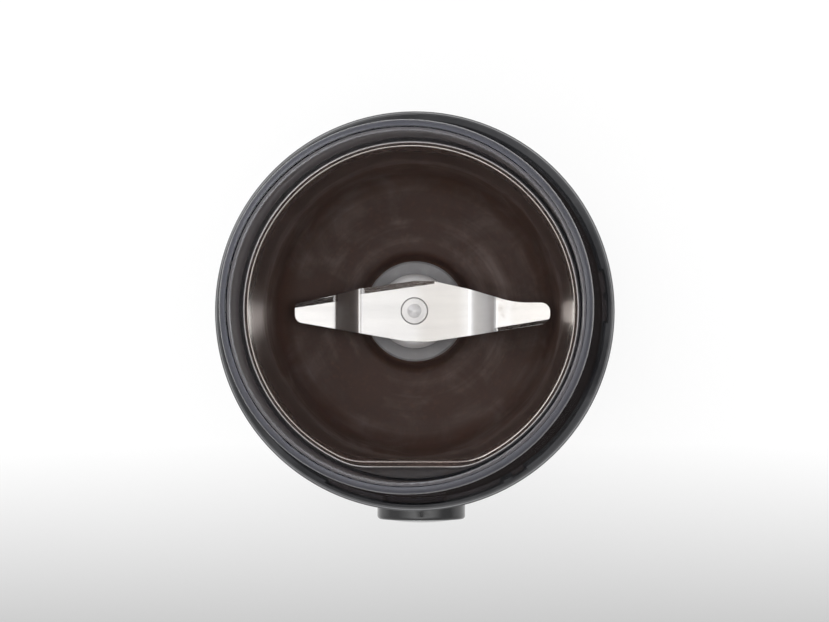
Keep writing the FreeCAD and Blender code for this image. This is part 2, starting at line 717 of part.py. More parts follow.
def cooling_fan():
    """The moulded fan on the shaft's lower end: a hub, a thin disc and curved vanes."""
    hub_r, disc, vane_count, vane_inner, sweep, thick = 5.6, 1.5, 9, 8.0, 2.8, 1.1
    body = ring(SHAFT_R, hub_r, FAN_Z0, FAN_Z1).fuse(ring(SHAFT_R, FAN_R, FAN_Z1 - disc, FAN_Z1))
    middle = (vane_inner + FAN_R) / 2
    ends = [(vane_inner, 0.0), (middle, sweep), (FAN_R - 0.6, 0.0)]
    near = [Vector(x, y, FAN_Z0) for x, y in ends]
    far = [Vector(x, y + thick, FAN_Z0) for x, y in ends]
    edges = [
        Part.Arc(*near).toShape(),
        Part.LineSegment(near[2], far[2]).toShape(),
        Part.Arc(far[2], far[1], far[0]).toShape(),
        Part.LineSegment(far[0], near[0]).toShape(),
    ]
    vane = Part.Face(Part.Wire(edges)).extrude(Vector(0, 0, FAN_Z1 - disc - FAN_Z0))
    return body.fuse(repeated(vane, vane_count)).removeSplitter()


def thrust_washers():
    """Two washers on the shaft that take up its end play inside the bearings."""
    outer, thick, play = 5.0, 0.8, 0.3
    low = LOWER_BRACKET_Z1 + play + 0.7
    high = UPPER_BRACKET_Z0 - play
    return [ring(SHAFT_R, outer, low, low + thick), ring(SHAFT_R, outer, high - thick, high)]


# Motor: the parts that stand still


def stator_core():
    """The field's laminated stack: two poles, two windows and a bore, with a hole for a long screw in each corner."""
    half_x, half_y, cut = STATOR_X / 2, STATOR_Y / 2, 3.0
    corners = [(-half_x, -half_y, cut), (half_x, -half_y, cut), (half_x, half_y, cut), (-half_x, half_y, cut)]
    core = plate(corners, STACK_Z0, STACK_Z1)
    core = core.cut(ring(0, BORE_R, STACK_Z0, STACK_Z1))
    for low, high in ((POLE_HALF_WIDTH, WINDOW_Y), (-WINDOW_Y, -POLE_HALF_WIDTH)):
        core = core.cut(block((-WINDOW_X, WINDOW_X), (low, high), (STACK_Z0, STACK_Z1)))
    for x, y in four_corners():
        core = core.cut(post(x, y, MOTOR_SCREW_R + 0.2, STACK_Z0, STACK_Z1))
    return core.removeSplitter()


def field_coils():
    """Two wound coils, one round each pole."""
    gap, reach, end_gap, build = 0.3, 7.2, 1.2, 5.2
    half = WINDOW_Y - gap
    coils = []
    for side in (-1, 1):
        inner_x, outer_x = WINDOW_X - gap - build, WINDOW_X - gap
        xs = tuple(sorted((side * inner_x, side * outer_x)))
        z0, z1 = STACK_Z0 - reach, STACK_Z1 + reach
        body = block(xs, (-half, half), (z0, z1))
        along = [e for e in body.Edges if abs(e.BoundBox.XLength - build) < 0.01]
        body = body.makeFillet(4.0, along)
        pole = block(
            (xs[0] - 1, xs[1] + 1),
            (-POLE_HALF_WIDTH - gap, POLE_HALF_WIDTH + gap),
            (STACK_Z0 - end_gap, STACK_Z1 + end_gap),
        )
        coils.append(body.cut(pole))
    return coils


def bearing_bracket(z0, z1, cup_z0, cup_z1, post_z0, post_z1):
    """An open bracket across the motor: a bearing cup, four arms, and a post at each corner."""
    cup_r, arm_half, post_r = 8.4, 4.0, 3.0
    body = ring(0, cup_r, cup_z0, cup_z1)
    for x, y in four_corners():
        length = math.hypot(x, y)
        arm = block((0, length), (-arm_half, arm_half), (z0, z1))
        arm.rotate(ORIGIN, UP, math.degrees(math.atan2(y, x)))
        body = body.fuse([arm, post(x, y, 4.6, z0, z1), post(x, y, post_r, post_z0, post_z1)])
    body = body.cut(ring(0, BUSH_R, cup_z0, cup_z1))
    for x, y in four_corners():
        body = body.cut(post(x, y, MOTOR_SCREW_R + 0.2, min(z0, post_z0), max(z1, post_z1)))
    return body.removeSplitter()


def upper_bracket():
    """The bracket that holds the upper bearing over the field stack."""
    return bearing_bracket(UPPER_BRACKET_Z0, UPPER_BRACKET_Z1, UPPER_BRACKET_Z0, 91.0, STACK_Z1, UPPER_BRACKET_Z0)


def lower_bracket():
    """The bracket that holds the lower bearing and the brushes."""
    body = bearing_bracket(LOWER_BRACKET_Z0, LOWER_BRACKET_Z1, 26.0, LOWER_BRACKET_Z1, LOWER_BRACKET_Z1, STACK_Z0)
    for side in (-1, 1):
        xs = tuple(sorted((side * 13.0, side * 20.0)))
        foot = block(xs, (-6.0, 6.0), (LOWER_BRACKET_Z1 - 2.0, BRUSH_Z0 - BRUSH_WALL))
        link = block(xs, (-14.0, 14.0), (LOWER_BRACKET_Z1 - 3.5, LOWER_BRACKET_Z1))
        body = body.fuse([foot, link])
    return body.removeSplitter()


def bearing(bottom, top):
    """A sintered bronze bush."""
    return ring(SHAFT_R + BUSH_CLEARANCE, BUSH_R, bottom, top)


BRUSH_HALF_Y, BRUSH_Z0, BRUSH_Z1, BRUSH_WALL = 2.5, 39.8, 45.8, 0.9
BRUSH_X0, BRUSH_X1, HOLDER_X0, HOLDER_X1 = 9.1, 18.0, 11.6, 25.0


def mirrored(shape):
    """A shape and its twin on the other side of the motor."""
    twin = shape.copy()
    twin.rotate(ORIGIN, UP, 180)
    return [shape, twin]


def carbon_brushes():
    """Two carbon brushes that press on the commutator."""
    brush = block((BRUSH_X0, BRUSH_X1), (-BRUSH_HALF_Y, BRUSH_HALF_Y), (BRUSH_Z0, BRUSH_Z1))
    brush = brush.cut(ring(0, COMMUTATOR_R + 0.1, BRUSH_Z0, BRUSH_Z1))
    return mirrored(brush)


def brush_holders():
    """Two brass boxes that guide the brushes, closed behind their springs."""
    slack = 0.05
    y, z0, z1 = BRUSH_HALF_Y + slack, BRUSH_Z0 - slack, BRUSH_Z1 + slack
    wall = BRUSH_WALL - slack
    holder = block((HOLDER_X0, HOLDER_X1), (-y - wall, y + wall), (z0 - wall, z1 + wall))
    holder = holder.cut(block((HOLDER_X0, HOLDER_X1 - 1.0), (-y, y), (z0, z1)))
    return mirrored(holder)


def brush_springs():
    """A small coil spring behind each brush."""
    start = Vector(BRUSH_X1 + 0.05, 0, (BRUSH_Z0 + BRUSH_Z1) / 2)
    length = HOLDER_X1 - 1.05 - start.x
    return mirrored(coil_spring(1.8, 0.5, start, Vector(1, 0, 0), length, 4))


def motor_screws():
    """Four long screws that clamp the motor together and hang it from the chassis."""
    seat, tip = LOWER_BRACKET_Z0, DECK_TOP_Z - 0.4
    return [pan_screw(x, y, MOTOR_SCREW_R, 3.4, 2.2, seat, tip) for x, y in four_corners()]


def rubber_mounts():
    """Four rubber mounts between the motor and the chassis."""
    outer, bore = 4.8, MOTOR_SCREW_R
    return [post(x, y, outer, UPPER_BRACKET_Z1, MOUNT_TOP_Z, bore) for x, y in four_corners()]


# Chassis, switches and button


def chassis():
    """The inner frame: a deck that carries the bowl and the motor, and a front panel for the two switches."""
    deck_r, throat_r, seat_inner, seat_outer = 41.8, 13.0, 15.0, 22.0
    panel_half, panel_bottom, rib_back, rib = 12.0, 34.0, 27.5, 1.5
    seat_top = FLOOR_Z - SHEET
    body = ring(throat_r, deck_r, DECK_BOTTOM_Z, DECK_TOP_Z)
    body = body.fuse(ring(seat_inner, seat_outer, DECK_TOP_Z, seat_top))
    for x, y in four_corners():
        body = body.fuse(post(x, y, 4.6, MOUNT_TOP_Z, DECK_BOTTOM_Z))
    panel = block((-panel_half, panel_half), (-PANEL_FRONT, -PANEL_BACK), (panel_bottom, DECK_BOTTOM_Z))
    body = body.fuse(panel)
    for side in (-1, 1):
        xs = tuple(sorted((side * panel_half, side * (panel_half - rib))))
        body = body.fuse(block(xs, (-PANEL_BACK, -rib_back), (panel_bottom, DECK_BOTTOM_Z)))
    hook = [
        (39.0, DECK_BOTTOM_Z),
        (39.0, 86.6),
        (40.0, 86.6),
        (40.9, 88.2),
        (40.0, 89.2),
        (40.0, DECK_BOTTOM_Z),
    ]
    for angle in HOOK_ANGLES:
        body = body.fuse(turned_part(hook, angle, 14.0))
    for x, y in four_corners():
        body = body.cut(post(x, y, MOTOR_SCREW_R, MOUNT_TOP_Z, DECK_TOP_Z))
    for angle in COLLAR_SCREW_ANGLES:
        body = body.cut(post(*on_ring(COLLAR_SCREW_RING, angle), 1.5, DECK_BOTTOM_Z, DECK_TOP_Z))
    body = body.cut(post(0, INTERLOCK_Y, PIN_R + 0.15, DECK_BOTTOM_Z, DECK_TOP_Z))
    body = body.cut(drum(STEM_R + 0.4, -PANEL_FRONT, -PANEL_BACK, BUTTON_Z))
    return body.removeSplitter()


HOOK_ANGLES = (60.0, 180.0, 300.0)  # snap hooks that catch under the housing's ledge
STEM_R = 2.2
PIN_R = 1.2
FLANGE_NEAR, FLANGE_FAR = 39.7, 38.5


def button_cap():
    """The round black button, hollow behind, with a flange that keeps it in the housing."""
    shell, face_recess_r, recess, flange_r, stem_end = 1.6, 8.4, 0.9, 12.0, 34.3
    outer = drum(BUTTON_R, -BUTTON_FRONT, -FLANGE_NEAR, BUTTON_Z)
    rim = [e for e in outer.Edges if abs(e.CenterOfMass.y + BUTTON_FRONT) < 0.01]
    outer = outer.makeFillet(0.8, rim)
    outer = outer.fuse(drum(flange_r, -FLANGE_NEAR, -FLANGE_FAR, BUTTON_Z))
    hollow = drum(BUTTON_R - shell, -BUTTON_FRONT + recess + shell, -FLANGE_FAR, BUTTON_Z)
    outer = outer.cut([hollow, drum(face_recess_r, -BUTTON_FRONT, -BUTTON_FRONT + recess, BUTTON_Z)])
    stem = drum(STEM_R, -BUTTON_FRONT + recess + shell, -stem_end, BUTTON_Z)
    seat = drum(4.6, -BUTTON_FRONT + recess + shell, -FLANGE_FAR, BUTTON_Z)
    return outer.fuse([seat, stem]).removeSplitter()


def button_face():
    """The slightly domed bright disc set into the button's front."""
    disc_r, back, crown, edge = 8.2, BUTTON_FRONT - 0.9, 49.7, 49.0
    dome_r = (disc_r**2 + (crown - edge) ** 2) / (2 * (crown - edge))
    dome = Part.makeSphere(dome_r, Vector(0, dome_r - crown, BUTTON_Z))
    return drum(disc_r, -crown, -back, BUTTON_Z).common(dome)


def button_spring():
    """The coil spring that pushes the button back out."""
    start = Vector(0, -FLANGE_FAR + 0.05, BUTTON_Z)
    return coil_spring(3.2, 0.6, start, Vector(0, 1, 0), FLANGE_FAR - PANEL_FRONT - 0.1, 4)


SWITCH_LONG, SWITCH_DEEP, SWITCH_THICK = 19.8, 10.2, 6.4
PLUNGER_R, PLUNGER_SLACK, PLUNGER_WELL = 1.2, 0.1, 4.0


def power_switch():
    """The snap switch behind the front panel that the button works, with three flat terminals."""
    bottom, back, half = 35.5, PANEL_BACK - SWITCH_DEEP, SWITCH_THICK / 2
    body = block((-half, half), (-PANEL_BACK, -back), (bottom, bottom + SWITCH_LONG))
    pips = [block((-1.6, 1.6), (-back, 3.0 - back), (z, z + 0.6)) for z in (37.5, 45.5, 52.5)]
    well = drum(PLUNGER_R + PLUNGER_SLACK, -PANEL_BACK, PLUNGER_WELL - PANEL_BACK, BUTTON_Z)
    return body.fuse(pips).cut(well)


def power_switch_plunger():
    """The power switch's own small push pin."""
    return drum(PLUNGER_R, -34.0, 0.8 - PANEL_BACK, BUTTON_Z)


LID_SWITCH_TOP = 88.7


def lid_switch():
    """The snap switch under the deck that closes only while the lid is on, with three flat terminals."""
    bottom, half, front = LID_SWITCH_TOP - SWITCH_DEEP, SWITCH_LONG / 2, -PANEL_FRONT - SWITCH_THICK
    body = block((-half, half), (front, -PANEL_FRONT), (bottom, LID_SWITCH_TOP))
    pips = [block((x - 1.6, x + 1.6), (front + 3.0, front + 3.6), (bottom - 3.0, bottom)) for x in (-7.5, 0.0, 7.5)]
    well = post(0, INTERLOCK_Y, PLUNGER_R + PLUNGER_SLACK, LID_SWITCH_TOP - PLUNGER_WELL, LID_SWITCH_TOP)
    return body.fuse(pips).cut(well)


def lid_switch_plunger():
    """The lid switch's own small push pin, held down while the lid is on."""
    return post(0, INTERLOCK_Y, PLUNGER_R, LID_SWITCH_TOP - 2.0, LID_SWITCH_TOP + 0.8)


def interlock_plunger():
    """The plunger that the lid's tongue holds down: a broad head, a spring flange and a thin pin."""
    head_top, head_bottom, collar_bottom, pin_bottom = TONGUE_BOTTOM_Z - INTERLOCK_GAP, 99.4, 97.6, 89.7
    head = block((-6.0, 6.0), (-42.3, INTERLOCK_Y + 3.0), (head_bottom, head_top))
    flange = post(0, INTERLOCK_Y, 3.0, collar_bottom, head_bottom)
    pin = post(0, INTERLOCK_Y, PIN_R, pin_bottom, collar_bottom)
    return head.fuse([flange, pin]).removeSplitter()


def interlock_spring():
    """The coil spring that lifts the interlock when the lid comes off."""
    start = Vector(0, INTERLOCK_Y, DECK_TOP_Z + 0.05)
    return coil_spring(2.0, 0.4, start, UP, 97.6 - DECK_TOP_Z - 0.1, 4)


def suppression_capacitor():
    """The block capacitor on the base cover that keeps brush noise off the mains."""
    return block((28.8, 37.2), (-8.5, 8.5), (BASE_PLATE_Z, 19.0))


def main():
    os.makedirs("parts", exist_ok=True)
    save("foot_ring", foot_ring())
    save("base_cover", base_cover())
    save("cover_screws", *cover_screws())
    save("housing", housing())
    save("cord_bushing", cord_bushing())
    save("cord_clamp", cord_clamp())
    save("clamp_screws", *clamp_screws())
    save("collar", collar())
    save("collar_screws", *collar_screws())
    save("lid", lid())
    save("grinding_bowl", grinding_bowl())
    save("bowl_gasket", bowl_gasket())
    save("bowl_neck", bowl_neck())
    save("shaft_seal", shaft_seal())
    save("blade", blade())
    save("blade_hub", blade_hub())
    save("shaft", shaft())
    save("armature_core", armature_core())
    save("armature_winding", *armature_winding())
    save("commutator", commutator())
    save("cooling_fan", cooling_fan())
    save("thrust_washers", *thrust_washers())
    save("stator_core", stator_core())
    save("field_coils", *field_coils())
    save("upper_bracket", upper_bracket())
    save("lower_bracket", lower_bracket())
    save("upper_bearing", bearing(UPPER_BRACKET_Z0, 91.0))
    save("lower_bearing", bearing(26.0, LOWER_BRACKET_Z1))
    save("carbon_brushes", *carbon_brushes())
    save("brush_holders", *brush_holders())
    save("brush_springs", *brush_springs())
    save("motor_screws", *motor_screws())
    save("rubber_mounts", *rubber_mounts())
    save("chassis", chassis())
    save("button_cap", button_cap())
    save("button_face", button_face())
    save("button_spring", button_spring())
    save("power_switch", power_switch())
    save("power_switch_plunger", power_switch_plunger())
    save("lid_switch", lid_switch())
    save("lid_switch_plunger", lid_switch_plunger())
    save("interlock_plunger", interlock_plunger())
    save("interlock_spring", interlock_spring())
    save("suppression_capacitor", suppression_capacitor())


main()
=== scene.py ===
"""Electric spice grinder: its finishes, its finer pieces, the studio and the camera.

Metres, +Z up, in the frame of the packed solids. The motor's axis is X = Y = 0 and the button faces -Y.
"""

import math

import bmesh
import bpy
from mathutils import Matrix, Vector


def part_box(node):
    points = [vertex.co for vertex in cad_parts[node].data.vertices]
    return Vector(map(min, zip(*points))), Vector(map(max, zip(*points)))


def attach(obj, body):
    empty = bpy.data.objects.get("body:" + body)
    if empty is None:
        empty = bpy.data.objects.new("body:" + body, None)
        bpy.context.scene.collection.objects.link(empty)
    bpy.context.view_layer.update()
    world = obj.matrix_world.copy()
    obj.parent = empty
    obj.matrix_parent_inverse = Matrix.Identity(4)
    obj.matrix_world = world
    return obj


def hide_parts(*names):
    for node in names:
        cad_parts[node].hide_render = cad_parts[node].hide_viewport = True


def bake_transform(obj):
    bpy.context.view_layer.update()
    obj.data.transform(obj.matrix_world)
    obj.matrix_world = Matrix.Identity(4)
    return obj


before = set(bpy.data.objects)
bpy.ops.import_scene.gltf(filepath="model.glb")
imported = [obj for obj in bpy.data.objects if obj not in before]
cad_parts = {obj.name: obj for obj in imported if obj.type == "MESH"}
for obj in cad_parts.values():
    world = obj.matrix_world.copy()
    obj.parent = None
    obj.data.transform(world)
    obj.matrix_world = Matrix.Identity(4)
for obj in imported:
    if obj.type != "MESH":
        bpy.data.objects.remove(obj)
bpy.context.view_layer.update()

bl_info = {
    "name": "Electric Spice Grinder",
    "version": (1, 0, 0),
    "blender": (4, 5, 0),
    "location": "View3D > Sidebar > Grinder",
    "description": "Finishes, finer pieces and studio of an electric spice grinder",
    "category": "Object",
}

# Places on the solids that the finishes refer to: pairs give where a change starts and ends
RIM_FLAT = 0.140985, 0.140997
RIM_BEAD = 0.1402, 0.1406
BOWL_INSIDE = 0.0349, 0.0345
LID_FLAT_TOP = 0.1752, 0.1757
LID_INNER_WALL = 0.0376, 0.0374
RIVET_RADIUS = 0.0029
BUTTON_HEIGHT = 0.05
COLLAR_EDGE = 0.04414, 0.1112, 0.00018  # radius, height and half width of the painted highlight line


# Node trees


class Quantity:
    """A socket in a node tree that sums and products in Python turn into Math nodes."""

    def __init__(self, wiring, socket):
        self.wiring = wiring
        self.socket = socket

    def combined(self, operation, first, second=0.0):
        return self.wiring.node("ShaderNodeMath", {"operation": operation}, {0: first, 1: second})

    def __add__(self, other):
        return self.combined("ADD", self, other)

    def __radd__(self, other):
        return self.combined("ADD", other, self)

    def __sub__(self, other):
        return self.combined("SUBTRACT", self, other)

    def __rsub__(self, other):
        return self.combined("SUBTRACT", other, self)

    def __mul__(self, other):
        return self.combined("MULTIPLY", self, other)

    def __rmul__(self, other):
        return self.combined("MULTIPLY", other, self)

    def __truediv__(self, other):
        return self.combined("DIVIDE", self, other)

    def __mod__(self, other):
        return self.combined("FLOORED_MODULO", self, other)

    def __pow__(self, other):
        return self.combined("POWER", self, other)

    def __abs__(self):
        return self.combined("ABSOLUTE", self)


class Wiring:
    """A node tree, to which one method adds nodes."""

    def __init__(self, tree):
        self.tree = tree

    def node(self, kind, settings=None, sockets=None, output=0):
        """Adds a node, sets it up, then fills or joins its sockets. Gives one of its outputs."""
        made = self.tree.nodes.new(kind)
        for name, value in (settings or {}).items():
            if name == "stops":
                self.set_stops(made.color_ramp, value)
            else:
                setattr(made, name, value)
        for name, value in (sockets or {}).items():
            if isinstance(value, Quantity):
                self.tree.links.new(value.socket, made.inputs[name])
                made.location.x = max(made.location.x, value.socket.node.location.x + 220)
            else:
                made.inputs[name].default_value = value
        made.location.y = -180 * sum(1 for other in self.tree.nodes if other.location.x == made.location.x)
        return Quantity(self, made.outputs[output]) if len(made.outputs) else None

    @staticmethod
    def set_stops(ramp, stops):
        """Gives a colour ramp its stops, as pairs of place and colour."""
        while len(ramp.elements) < len(stops):
            ramp.elements.new(1.0)
        for element, (place, colour) in zip(ramp.elements, stops):
            element.position = place
            element.color = colour


class Finish(Wiring):
    """A material whose patterns follow the piece's own coordinates, in metres."""

    def __init__(self, name):
        self.material = bpy.data.materials.new(name)
        self.material.use_nodes = True
        super().__init__(self.material.node_tree)
        self.tree.nodes.clear()
        self.place = self.node("ShaderNodeTexCoord", output="Object")
        self.parts = {}

    def moved(self, turn=(0, 0, 0), stretch=(1, 1, 1)):
        """The piece's coordinates, turned and stretched."""
        return self.node("ShaderNodeMapping", {}, {"Vector": self.place, "Rotation": turn, "Scale": stretch})

    def part(self, axis):
        """One of the piece's coordinates."""
        if axis not in self.parts:
            self.parts[axis] = self.node("ShaderNodeSeparateXYZ", {}, {0: self.place}, axis)
        return self.parts[axis]

    x = property(lambda self: self.part("X"))
    y = property(lambda self: self.part("Y"))
    z = property(lambda self: self.part("Z"))

    @property
    def radius(self):
        """The distance from the motor's axis."""
        if "radius" not in self.parts:
            self.parts["radius"] = (self.x ** 2.0 + self.y ** 2.0) ** 0.5
        return self.parts["radius"]

    def point(self, x=0.0, y=0.0, z=0.0):
        """A place for a pattern, from three values."""
        return self.node("ShaderNodeCombineXYZ", {}, {"X": x, "Y": y, "Z": z})

    def cloud(self, size, place=None, detail=3.0, roughness=0.55, warp=0.0):
        """Soft noise from 0 to 1 whose lumps are about as wide as size."""
        sockets = {
            "Vector": place or self.place,
            "Scale": 1.0 / size,
            "Detail": detail,
            "Roughness": roughness,
            "Distortion": warp,
        }
        return self.node("ShaderNodeTexNoise", {}, sockets)

    def cells(self, size):
        """Distance to the nearest point of a scatter whose cells are about as wide as size."""
        return self.node("ShaderNodeTexVoronoi", {}, {"Vector": self.place, "Scale": 1.0 / size}, "Distance")

    def ramp(self, value, low, high, start=0.0, end=1.0, smooth=True):
        """Value taken from low..high to start..end, and held there beyond."""
        settings = {"interpolation_type": "SMOOTHSTEP" if smooth else "LINEAR", "clamp": True}
        sockets = {"Value": value, "From Min": low, "From Max": high, "To Min": start, "To Max": end}
        return self.node("ShaderNodeMapRange", settings, sockets)

    def spots(self, low, high, size, **noise):
        """Soft noise sharpened into spots: 0 where it is below low and 1 where it is above high."""
        return self.ramp(self.cloud(size, **noise), low, high)

    def mixed(self, amount, first, second):
        """A colour between two colours."""
        sockets = {0: amount, 6: with_alpha(first), 7: with_alpha(second)}
        return self.node("ShaderNodeMix", {"data_type": "RGBA"}, sockets, 2)

    def relief(self, height, depth, strength=1.0, under=None):
        """The surface direction that a height gives, for a relief of that depth in metres."""
        sockets = {"Height": height, "Distance": depth, "Strength": strength}
        if under is not None:
            sockets["Normal"] = under
        return self.node("ShaderNodeBump", {}, sockets)

    def surface(self, sockets):
        """The shader of an opaque surface."""
        return self.node("ShaderNodeBsdfPrincipled", {}, sockets)

    def done(self, shader, volume=None):
        """Joins the shader to the output and gives the material."""
        joined = {"Surface": shader}
        if volume:
            joined["Volume"] = volume
        self.node("ShaderNodeOutputMaterial", {}, joined)
        return self.material

    def opaque(self, sockets):
        """Gives the material an opaque surface and nothing else."""
        return self.done(self.surface(sockets))


def shaded(colour, factor, lift=0.0):
    """A colour made darker or lighter, at most white."""
    return tuple(min(1.0, channel * factor + lift) for channel in colour)


def with_alpha(colour):
    """A colour with its fourth number, or a socket as it is."""
    if isinstance(colour, Quantity):
        return colour
    return (*colour[:3], 1.0)


def wear(nodes, material):
    """Gives packed nodes a material."""
    for name in nodes:
        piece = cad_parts[name]
        piece.data.materials.clear()
        piece.data.materials.append(material)


# Finishes of the casing


def moulded_black(name, colour, gloss, grain_size, grain_depth, painted_edge_highlight=None):
    """Black moulded plastic: fine texture, faint cloudiness and rubbed spots. Its edge can carry a painted
    highlight: a pale line along the rounded top edge.
    """
    finish = Finish(name)
    patches = finish.cloud(0.018, detail=4.0)
    rubbed = finish.spots(0.56, 0.74, 0.006, detail=6.0, roughness=0.7)
    fine = finish.cloud(grain_size, detail=2.0)
    hairlines = finish.cloud(0.0016, finish.moved(turn=(0.3, 0.2, 0.5), stretch=(0.05, 1.0, 1.0)), detail=5.0)
    cloudy = finish.ramp(patches, 0.35, 0.7, 0.0, 0.5) + rubbed * 0.3
    shade = finish.mixed(cloudy, colour, shaded(colour, 1.7, 0.004))
    if painted_edge_highlight:
        radius, height, half_width = painted_edge_highlight
        line = finish.ramp(abs(finish.radius - radius), half_width, half_width * 0.4)
        line = line * finish.ramp(finish.z, height, height + 0.0001)
        # Painted highlight: a pale line along the rounded top edge.
        shade = finish.mixed(line * finish.ramp(patches, 0.2, 0.6, 0.5, 1.0), shade, (0.24, 0.24, 0.245))
    roughness = gloss + finish.ramp(patches, 0.3, 0.7, -0.04, 0.06) + rubbed * 0.09 + (hairlines - 0.5) * 0.06
    swell = finish.cloud(0.009, detail=1.0)
    waves = finish.relief(swell, 0.00012, 0.35)
    normal = finish.relief(fine, grain_depth, 0.5, waves)
    return finish.opaque({"Base Color": shade, "Roughness": roughness, "Normal": normal, "IOR": 1.5})


def dusted_black(name, colour, dust):
    """Black moulded plastic under a thin uneven coat of fine brown dust."""
    finish = Finish(name)
    veil = finish.spots(0.3, 0.7, 0.007, detail=5.0, roughness=0.65)
    grains = finish.spots(0.5, 0.66, 0.0006, detail=5.0, roughness=0.75)
    fine = finish.cloud(0.0003, detail=2.0)
    cover = veil * 0.35 + grains * 0.3 + 0.15
    return finish.opaque({
        "Base Color": finish.mixed(cover, colour, dust),
        "Roughness": 0.36 + veil * 0.15 + grains * 0.15,
        "Normal": finish.relief(fine + grains * 1.5, 0.00002, 0.5),
    })


def soft_rubber(name, colour, roughness, bloom):
    """Matt rubber with a fine grain and a pale bloom in patches."""
    finish = Finish(name)
    fine = finish.cloud(0.0005, detail=4.0)
    dusty = finish.spots(0.45, 0.75, 0.004, detail=6.0, roughness=0.65)
    shade = finish.mixed(dusty * 0.6, colour, shaded(colour, 1.0, bloom))
    pores = finish.cells(0.0007)
    normal = finish.relief(fine + pores * 0.4, 0.00006, 0.7)
    return finish.opaque({
        "Base Color": shade,
        "Roughness": finish.ramp(fine, 0.2, 0.8, roughness - 0.08, roughness + 0.08),
        "Normal": normal,
        "Sheen Weight": 0.15,
        "Sheen Roughness": 0.5,
    })


# Finish of the lid


def clear_plastic(name, tint, haze, dust):
    """Clear polycarbonate with hairline scratches and, on its inner wall, a soft brownish haze of fine dust.
    The dust's colour is darker low on the wall and lighter high up: painted shade and painted light.
    """
    finish = Finish(name)
    along = finish.cloud(0.0009, finish.moved(turn=(0.0, 0.0, 0.6), stretch=(0.02, 1.0, 1.0)), detail=2.0)
    across = finish.cloud(0.0011, finish.moved(turn=(0.0, 0.0, -0.9), stretch=(1.0, 0.03, 1.0)), detail=2.0)
    scratches = finish.ramp(along, 0.66, 0.78) + finish.ramp(across, 0.68, 0.8)
    smudges = finish.spots(0.55, 0.8, 0.02, detail=4.0)
    height = finish.z
    flat_top = finish.ramp(height, *LID_FLAT_TOP)
    glass = finish.surface(
        {
            "Base Color": finish.mixed(flat_top, tint, (1.0, 0.972, 0.93)),
            "Roughness": haze + smudges * 0.012 + scratches * 0.02,
            "Transmission Weight": 1.0,
            "IOR": 1.5,
        }
    )
    wall_shadow = finish.node("ShaderNodeBsdfTransparent", {}, {"Color": (0.94, 0.95, 0.96, 1.0)})
    top_shadow = finish.node("ShaderNodeBsdfTransparent", {}, {"Color": (0.975, 0.96, 0.935, 1.0)})
    through = finish.node("ShaderNodeMixShader", {}, {0: flat_top, 1: wall_shadow, 2: top_shadow})
    shadow = finish.node("ShaderNodeLightPath", output="Is Shadow Ray")
    clean = finish.node("ShaderNodeMixShader", {}, {0: shadow, 1: glass, 2: through})
    inner_wall = finish.ramp(finish.radius, *LID_INNER_WALL) * finish.ramp(height, 0.17574, 0.1756)
    drifts = finish.cloud(0.012, finish.moved(stretch=(1.0, 1.0, 0.25)), detail=5.0, roughness=0.6)
    grains = finish.spots(0.5, 0.7, 0.0007, detail=4.0, roughness=0.7)
    amount = finish.ramp(height, 0.126, 0.152, 0.3, 0.88, smooth=False)
    amount = amount + (drifts - 0.5) * 0.12 + grains * 0.06
    flange = finish.ramp(height, 0.1126, 0.1122) * finish.ramp(finish.radius, 0.0388, 0.0391)
    # Painted shade and painted light: the dust's colour is darker low on the wall and lighter high up.
    shade = finish.mixed(finish.ramp(height, 0.136, 0.16), dust, shaded(dust, 0.8, 0.13))
    dust_with_painted_light = finish.surface({"Base Color": shade, "Roughness": 0.55 + grains * 0.2, "Specular IOR Level": 0.2})
    facing = finish.node("ShaderNodeLayerWeight", {}, {"Blend": 0.5}, "Facing")
    slant = finish.ramp(facing, 0.62, 0.9, 0.24, 1.0)
    under_top = finish.ramp(height, 0.1736, 0.1746)
    covered = inner_wall * amount * (slant + under_top) + flange * (0.1 + drifts * 0.25)
    cast = {"Color": (0.22, 0.38, 0.78, 1.0), "Density": 52.0}
    deep_tint = finish.node("ShaderNodeVolumeAbsorption", {}, cast)
    return finish.done(finish.node("ShaderNodeMixShader", {}, {0: covered, 1: clean, 2: dust_with_painted_light}), deep_tint)


# Finishes of the grinding chamber


